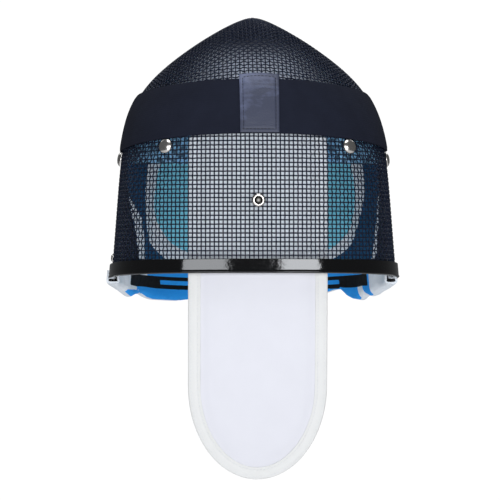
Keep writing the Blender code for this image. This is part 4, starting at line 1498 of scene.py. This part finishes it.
def hem_place(rises):
    """How far to the left and right the white hem runs at some height."""
    left, right = [out + lean * (rises - level) for out, lean, level in HEM_LINES]
    return left, right


def white_edge(turn, stands, rises, ups):
    """White: the side hems, wide on the left, and the silvery ends of the fold.  Edges are
    soft, so that they run straight between the columns."""
    far_left, far_right = hem_place(rises)
    tucked = (ups > 0).astype(float)
    raised = all_of(tucked, soft(rises - HEM_BOTTOM), soft(HEM_TOP - rises))
    # the left hem narrows upwards, and quickly near its top
    width = np.clip(8.6 - 0.04 * rises - 0.35 * np.maximum(rises - 50.0, 0.0), 0.0, 8.0)
    left = all_of(raised, soft(stands + far_left), soft(width - far_left - stands))
    right = all_of(raised, soft(far_right - stands), soft(stands - far_right + HEM_RIGHT_WIDTH))
    right_end = all_of(tucked, soft(TUCKED_END_TOP - rises), soft(turn - FOLD_END))
    depth = np.maximum(-rises, 0.0)
    gather = all_of(soft(turn - GATHER[0]), soft(GATHER[1] - turn))
    corner = any_of(soft(2.4 * depth - FOLD_END - turn), gather, soft(turn - FOLD_END))
    blue = all_of(soft(turn - BLUE_LOBE[0]), soft(BLUE_LOBE[1] - turn), soft(depth - BLUE_DEPTH))
    ends = all_of(soft(HEM_BOTTOM - rises), corner, 1.0 - blue)
    row = np.arange(rises.shape[1])[None, :]
    lip = ((row < LIP_ROWS) & (np.abs(turn) > LIP_TURN)).astype(float)
    return any_of(left, right, right_end, ends, lip)


def black_tape(turn, stands, rises, ups):
    """Black: two lines along the rim, which widen into one mass on each side, and black
    beyond the side hems."""
    far_left, far_right = hem_place(rises)
    past_left = (rises > HEM_BOTTOM) & (stands < -far_left)
    past_right = (rises > TUCKED_END_TOP) & (stands > far_right)
    upper = np.abs(rises - TAPE_HIGH) < 0.8
    lower = np.abs(rises - TAPE_LOW) < 0.7
    at_side = (turn < TAPE_MASS[0]) | (turn > TAPE_MASS[1])
    between = (rises > TAPE_LOW) & (rises < TAPE_HIGH) & at_side
    along = (upper | lower | between) & (ups >= 0) & (turn > TAPE_ENDS[0]) & (turn < TAPE_ENDS[1])
    return along | (past_left | past_right) & (ups > 0)


class MASK_OT_bib(bpy.types.Operator):
    """Fold the bib under the front of the rim and tuck it up inside"""
    bl_idname = "mask.bib"
    bl_label = "Tucked Bib"

    def execute(self, context):
        turns = np.linspace(-BIB_REACH, BIB_REACH, BIB_COLUMNS)
        layers, rises, ups, stands = ([], []), [], [], []
        for turn in turns:
            section = bib_rows(turn)
            line, up = section[:, :2], section[:, 2]
            along = np.gradient(line, axis=0)
            square = unit(np.stack([-along[:, 1], along[:, 0]], axis=-1))
            columns = np.where(up > 0, leaned(turn, line[:, 1]), turn)
            foot = above_rim(90.0 - columns, np.maximum(line[:, 1], 0.0))
            crease = ripple(foot * CREASE_STRETCH, CREASE_SIZE, 31) * CREASE_DEPTH
            crease = crease * smooth(up * 4.0) * (1.0 - closeness(turn, line[:, 1]))
            for layer, side in zip(layers, (-0.5, 0.5)):
                away, rise = (line + square * BIB_WALL * side).T
                points = above_rim(90.0 - columns, np.maximum(rise, 0.0))
                points = set_off(points, away + crease, flat=True)
                points[:, 2] += np.minimum(rise, 0.0)
                layer.append(points)
            rises.append(line[:, 1])
            ups.append(up)
            stands.append(columns)
        outer, inner = np.array(layers[0]), np.array(layers[1])
        middle = (outer + inner) / 2
        rises, ups, stands = np.array(rises), np.array(ups), np.array(stands)
        turn = np.broadcast_to(turns[:, None], rises.shape)
        made = piece("folded_bib", *wall_between(outer, inner), bib_cloth())
        store_uv(made.data, "face", stands, middle[..., 2])
        store(made.data, "hem", white_edge(turn, stands, rises, ups))
        store(made.data, "tape", black_tape(turn, stands, rises, ups))
        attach(made, "root")
        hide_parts("bib")
        return {"FINISHED"}


# ---------------------------------------------------------------- fasteners

def rivet_places():
    """Every rivet's point on the outer face, with its size."""
    places = []
    for side in (-1, 1):
        x, height = BACK_RIVET
        places.append((on_back(side * x, height), 1.0))
        for (forward, height), scale in ((SIDE_RIVET, 1.0), (RIM_RIVET, RIM_RIVET_SCALE)):
            start = np.array([0.0, forward, height])
            places.append((cast(start, np.array([float(side), 0.0, 0.0])), scale))
    return places


def rivet_head():
    """A domed head on a shank with a washer, standing on the origin."""
    dome = [(0.0, 1.0), (0.22, 0.98), (0.45, 0.91), (0.65, 0.77), (0.82, 0.56), (0.94, 0.32),
            (1.0, 0.1)]
    base = RIVET_STANDOFF
    profile = [(RIVET_RADIUS * out, base + RIVET_HEIGHT * up) for out, up in dome]
    profile += [(RIVET_RADIUS, base), (1.5, base), (1.5, -2.7), (3.2, -2.7), (3.2, -3.4),
                (0.0, -3.4)]
    points, faces = turned(profile, RIVET_SIDES)
    mesh = new_mesh("rivet_head", np.array(points) * MM, faces=faces)
    outward(mesh)
    smoothed(mesh, sharp=40.0)
    return link("rivet_head", mesh)


def rivet_tree(head):
    """A rivet head on each point, turned to the point's own normal."""
    tree, start = node_tree("rivets", [("Finish", "Material")])
    facing, scale = [
        add(tree, "GeometryNodeInputNamedAttribute", {"Name": name}, data_type=kind).outputs[0]
        for name, kind in (("facing", "FLOAT_VECTOR"), ("size", "FLOAT"))]
    turn = add(tree, "FunctionNodeAlignEulerToVector", {"Vector": facing}, axis="Z")
    shape = add(tree, "GeometryNodeObjectInfo", {"Object": head})
    placed = add(tree, "GeometryNodeInstanceOnPoints", {
        "Points": start.outputs["Geometry"], "Instance": shape.outputs["Geometry"],
        "Rotation": turn.outputs[0], "Scale": scale})
    end_tree(tree, placed.outputs[0], start.outputs["Finish"])
    return tree


class MASK_OT_fasteners(bpy.types.Operator):
    """Set the domed rivets and the tongue's bolt"""
    bl_idname = "mask.fasteners"
    bl_label = "Rivets and Bolt"

    def execute(self, context):
        finish = chromed_steel()
        head = rivet_head()
        places = rivet_places()
        spots = new_mesh("rivets", [to_row(point) for point, _ in places])
        facing = spots.attributes.new("facing", "FLOAT_VECTOR", "POINT")
        facing.data.foreach_set("vector", np.concatenate([normals(point) for point, _ in places]))
        store(spots, "size", [scale for _, scale in places])
        made = grow("rivets", spots, rivet_tree(head), {"Finish": finish})
        bpy.data.objects.remove(head)
        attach(made, "root")
        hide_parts(*[kind + "_rivet_" + side for kind in ("back", "side", "rim")
                            for side in ("left", "right")])
        self.bolt(finish)
        return {"FINISHED"}

    def bolt(self, finish):
        """A ring-headed bolt with a deep socket painted dark as shade, through the panel to a rear
        flange.
        """
        far = -(TONGUE_STANDOFF + PANEL_WALL / 2 + 0.9)
        profile = [(0.0, 0.35), (2.0, 0.35), (2.7, 0.6), (2.85, 1.6), (2.9, 2.5), (3.1, 2.95),
                   (3.6, 3.05), (4.2, 2.75), (4.7, 2.0), (BOLT_RADIUS, 1.0), (BOLT_RADIUS, 0.3),
                   (2.0, 0.3), (2.0, far), (BOLT_RADIUS, far), (BOLT_RADIUS, far - 1.6),
                   (4.4, far - 2.0), (0.0, far - 2.0)]
        points, faces = turned(profile, BOLT_SIDES)
        turn = Vector(BACKWARD).to_track_quat("Z", "Y").to_matrix().to_4x4()
        matrix = Matrix.Translation(Vector(on_back(0.0, BOLT_HEIGHT))) @ turn
        made = piece("ring_bolt", [tuple(matrix @ Vector(point)) for point in points], faces,
                     finish, sharp=40.0)
        x, y, up = np.array(points).T
        out = np.hypot(x, y)
        # painted shade in the deep socket, half as dark in its middle
        deep = (out < SOCKET_RADIUS) & (up > 0.0) & (up < 2.0)
        store(made.data, "socket_shade", deep * np.where(out < 1.0, 0.5, 1.0))
        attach(made, "root")
        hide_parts("tongue_bolt")


# ---------------------------------------------------------------- stage

class MASK_OT_stage(bpy.types.Operator):
    """Set up the camera, the soft boxes, the white surroundings and a pale floor"""
    bl_idname = "mask.stage"
    bl_label = "Stage"

    def execute(self, context):
        scene = context.scene
        scene.view_settings.view_transform = "Standard"
        turn = math.radians(CAMERA_TURN)
        ahead = Vector((math.sin(turn), math.cos(turn), 0.0))
        right = Vector((math.cos(turn), -math.sin(turn), 0.0))
        aim = Vector(to_row([0.0, 0.0, CAMERA_HEIGHT]))
        camera = bpy.data.objects.new("camera", bpy.data.cameras.new("camera"))
        camera.data.lens = CAMERA_LENS
        camera.data.sensor_width = CAMERA_SENSOR
        camera.location = aim - ahead * CAMERA_DISTANCE * MM + right * CAMERA_ASIDE * MM
        camera.rotation_mode = "QUATERNION"
        camera.rotation_quaternion = ahead.to_track_quat("-Z", "Y")
        context.collection.objects.link(camera)
        scene.camera = camera
        for name, place, size, power in (
                ("soft_box_left", (-14.5, 2.0, 0.0), (0.83, 0.7), 10.7),
                ("soft_box_right", (13.3, 2.0, 0.0), (0.56, 0.7), 12.4),
                ("low_fill", (0.0, 1.55, -0.66), (1.0, 0.3), 8.3),
                ("top_light", (0.0, 0.5, 2.0), (1.2, 1.2), 28.5),
                ("far_box_left", (-140.0, 2.2, 1.6), (0.9, 1.0), 8.0),
                ("far_box_right", (140.0, 2.2, 1.6), (0.9, 1.0), 8.0)):
            self.light(name, place, size, power)
        self.surroundings(scene)
        self.floor()
        return {"FINISHED"}

    def light(self, name, place, size, power):
        """An area light at an azimuth from the camera's side, a distance and a height."""
        azimuth, distance, height = place
        data = bpy.data.lights.new(name, "AREA")
        data.shape = "RECTANGLE"
        data.size, data.size_y = size
        data.energy = power
        data.color = linear(LIGHT_TINT)[:3]
        lamp = bpy.data.objects.new(name, data)
        angle = math.radians(azimuth)
        lamp.location = (math.sin(angle) * distance, -math.cos(angle) * distance, height)
        away = Vector(lamp.location) - LIGHT_AIM
        lamp.rotation_mode = "QUATERNION"
        lamp.rotation_quaternion = away.to_track_quat("Z", "Y")
        bpy.context.collection.objects.link(lamp)

    def surroundings(self, scene):
        """White where the background is seen directly, dim for everything it lights."""
        world = bpy.data.worlds.new("studio")
        world.use_nodes = True
        tree = world.node_tree
        tree.nodes.clear()
        seen = add(tree, "ShaderNodeLightPath").outputs["Is Camera Ray"]
        white = add(tree, "ShaderNodeBackground", {"Color": (1.0, 1.0, 1.0, 1.0), "Strength": 1.05})
        dim = add(tree, "ShaderNodeBackground", {"Color": (0.93, 0.96, 1.0, 1.0), "Strength": 0.12})
        mixed = add(tree, "ShaderNodeMixShader", {0: seen, 1: dim.outputs[0], 2: white.outputs[0]})
        add(tree, "ShaderNodeOutputWorld", {"Surface": mixed.outputs[0]})
        scene.world = world

    def floor(self):
        """A round pale floor, below the tongue and outside the photograph's frame."""
        made, tree, shader = blank_material("floor_paint")
        uneven = add(tree, "ShaderNodeTexNoise", {"Scale": 3.0, "Detail": 2.0})
        rough = add(tree, "ShaderNodeMapRange", {
            "Value": uneven.outputs["Fac"], "To Min": 0.8, "To Max": 0.95})
        fill(shader, Base_Color=linear("#f4f4f4"), Roughness=rough.outputs["Result"])
        mesh = bpy.data.meshes.new("floor")
        body = bmesh.new()
        bmesh.ops.create_circle(body, cap_ends=True, segments=96, radius=FLOOR_RADIUS)
        body.to_mesh(mesh)
        body.free()
        mesh.materials.append(made)
        floor = link("floor", mesh)
        floor.location = (0.0, 0.0, FLOOR_HEIGHT)


# ---------------------------------------------------------------- panel and registration

STEPS = ["stage", "wire_cloth", "seam", "trim", "strap", "patch", "tongue", "lining", "bib",
         "fasteners"]


class MASK_PT_dressing(bpy.types.Panel):
    """Lists the mask's pieces and settings"""
    bl_label = "Fencing Mask"
    bl_idname = "MASK_PT_dressing"
    bl_space_type = "VIEW_3D"
    bl_region_type = "UI"
    bl_category = "Mask"

    def draw(self, context):
        for group in (sizes(), colours()):
            box = self.layout.box()
            for name in group.__annotations__:
                box.prop(group, name)
        for step in STEPS:
            self.layout.operator("mask." + step)


CLASSES = (
    MaskSizes, MaskColours, MASK_OT_stage, MASK_OT_wire_cloth, MASK_OT_seam, MASK_OT_trim,
    MASK_OT_strap, MASK_OT_patch, MASK_OT_tongue, MASK_OT_lining, MASK_OT_bib,
    MASK_OT_fasteners, MASK_PT_dressing)


def register():
    for made in CLASSES:
        bpy.utils.register_class(made)
    bpy.types.Scene.mask_sizes = PointerProperty(type=MaskSizes)
    bpy.types.Scene.mask_colours = PointerProperty(type=MaskColours)


def unregister():
    del bpy.types.Scene.mask_sizes
    del bpy.types.Scene.mask_colours
    for made in reversed(CLASSES):
        bpy.utils.unregister_class(made)


def main():
    register()
    for step in STEPS:
        getattr(bpy.ops.mask, step)()


if __name__ == "__main__":
    main()
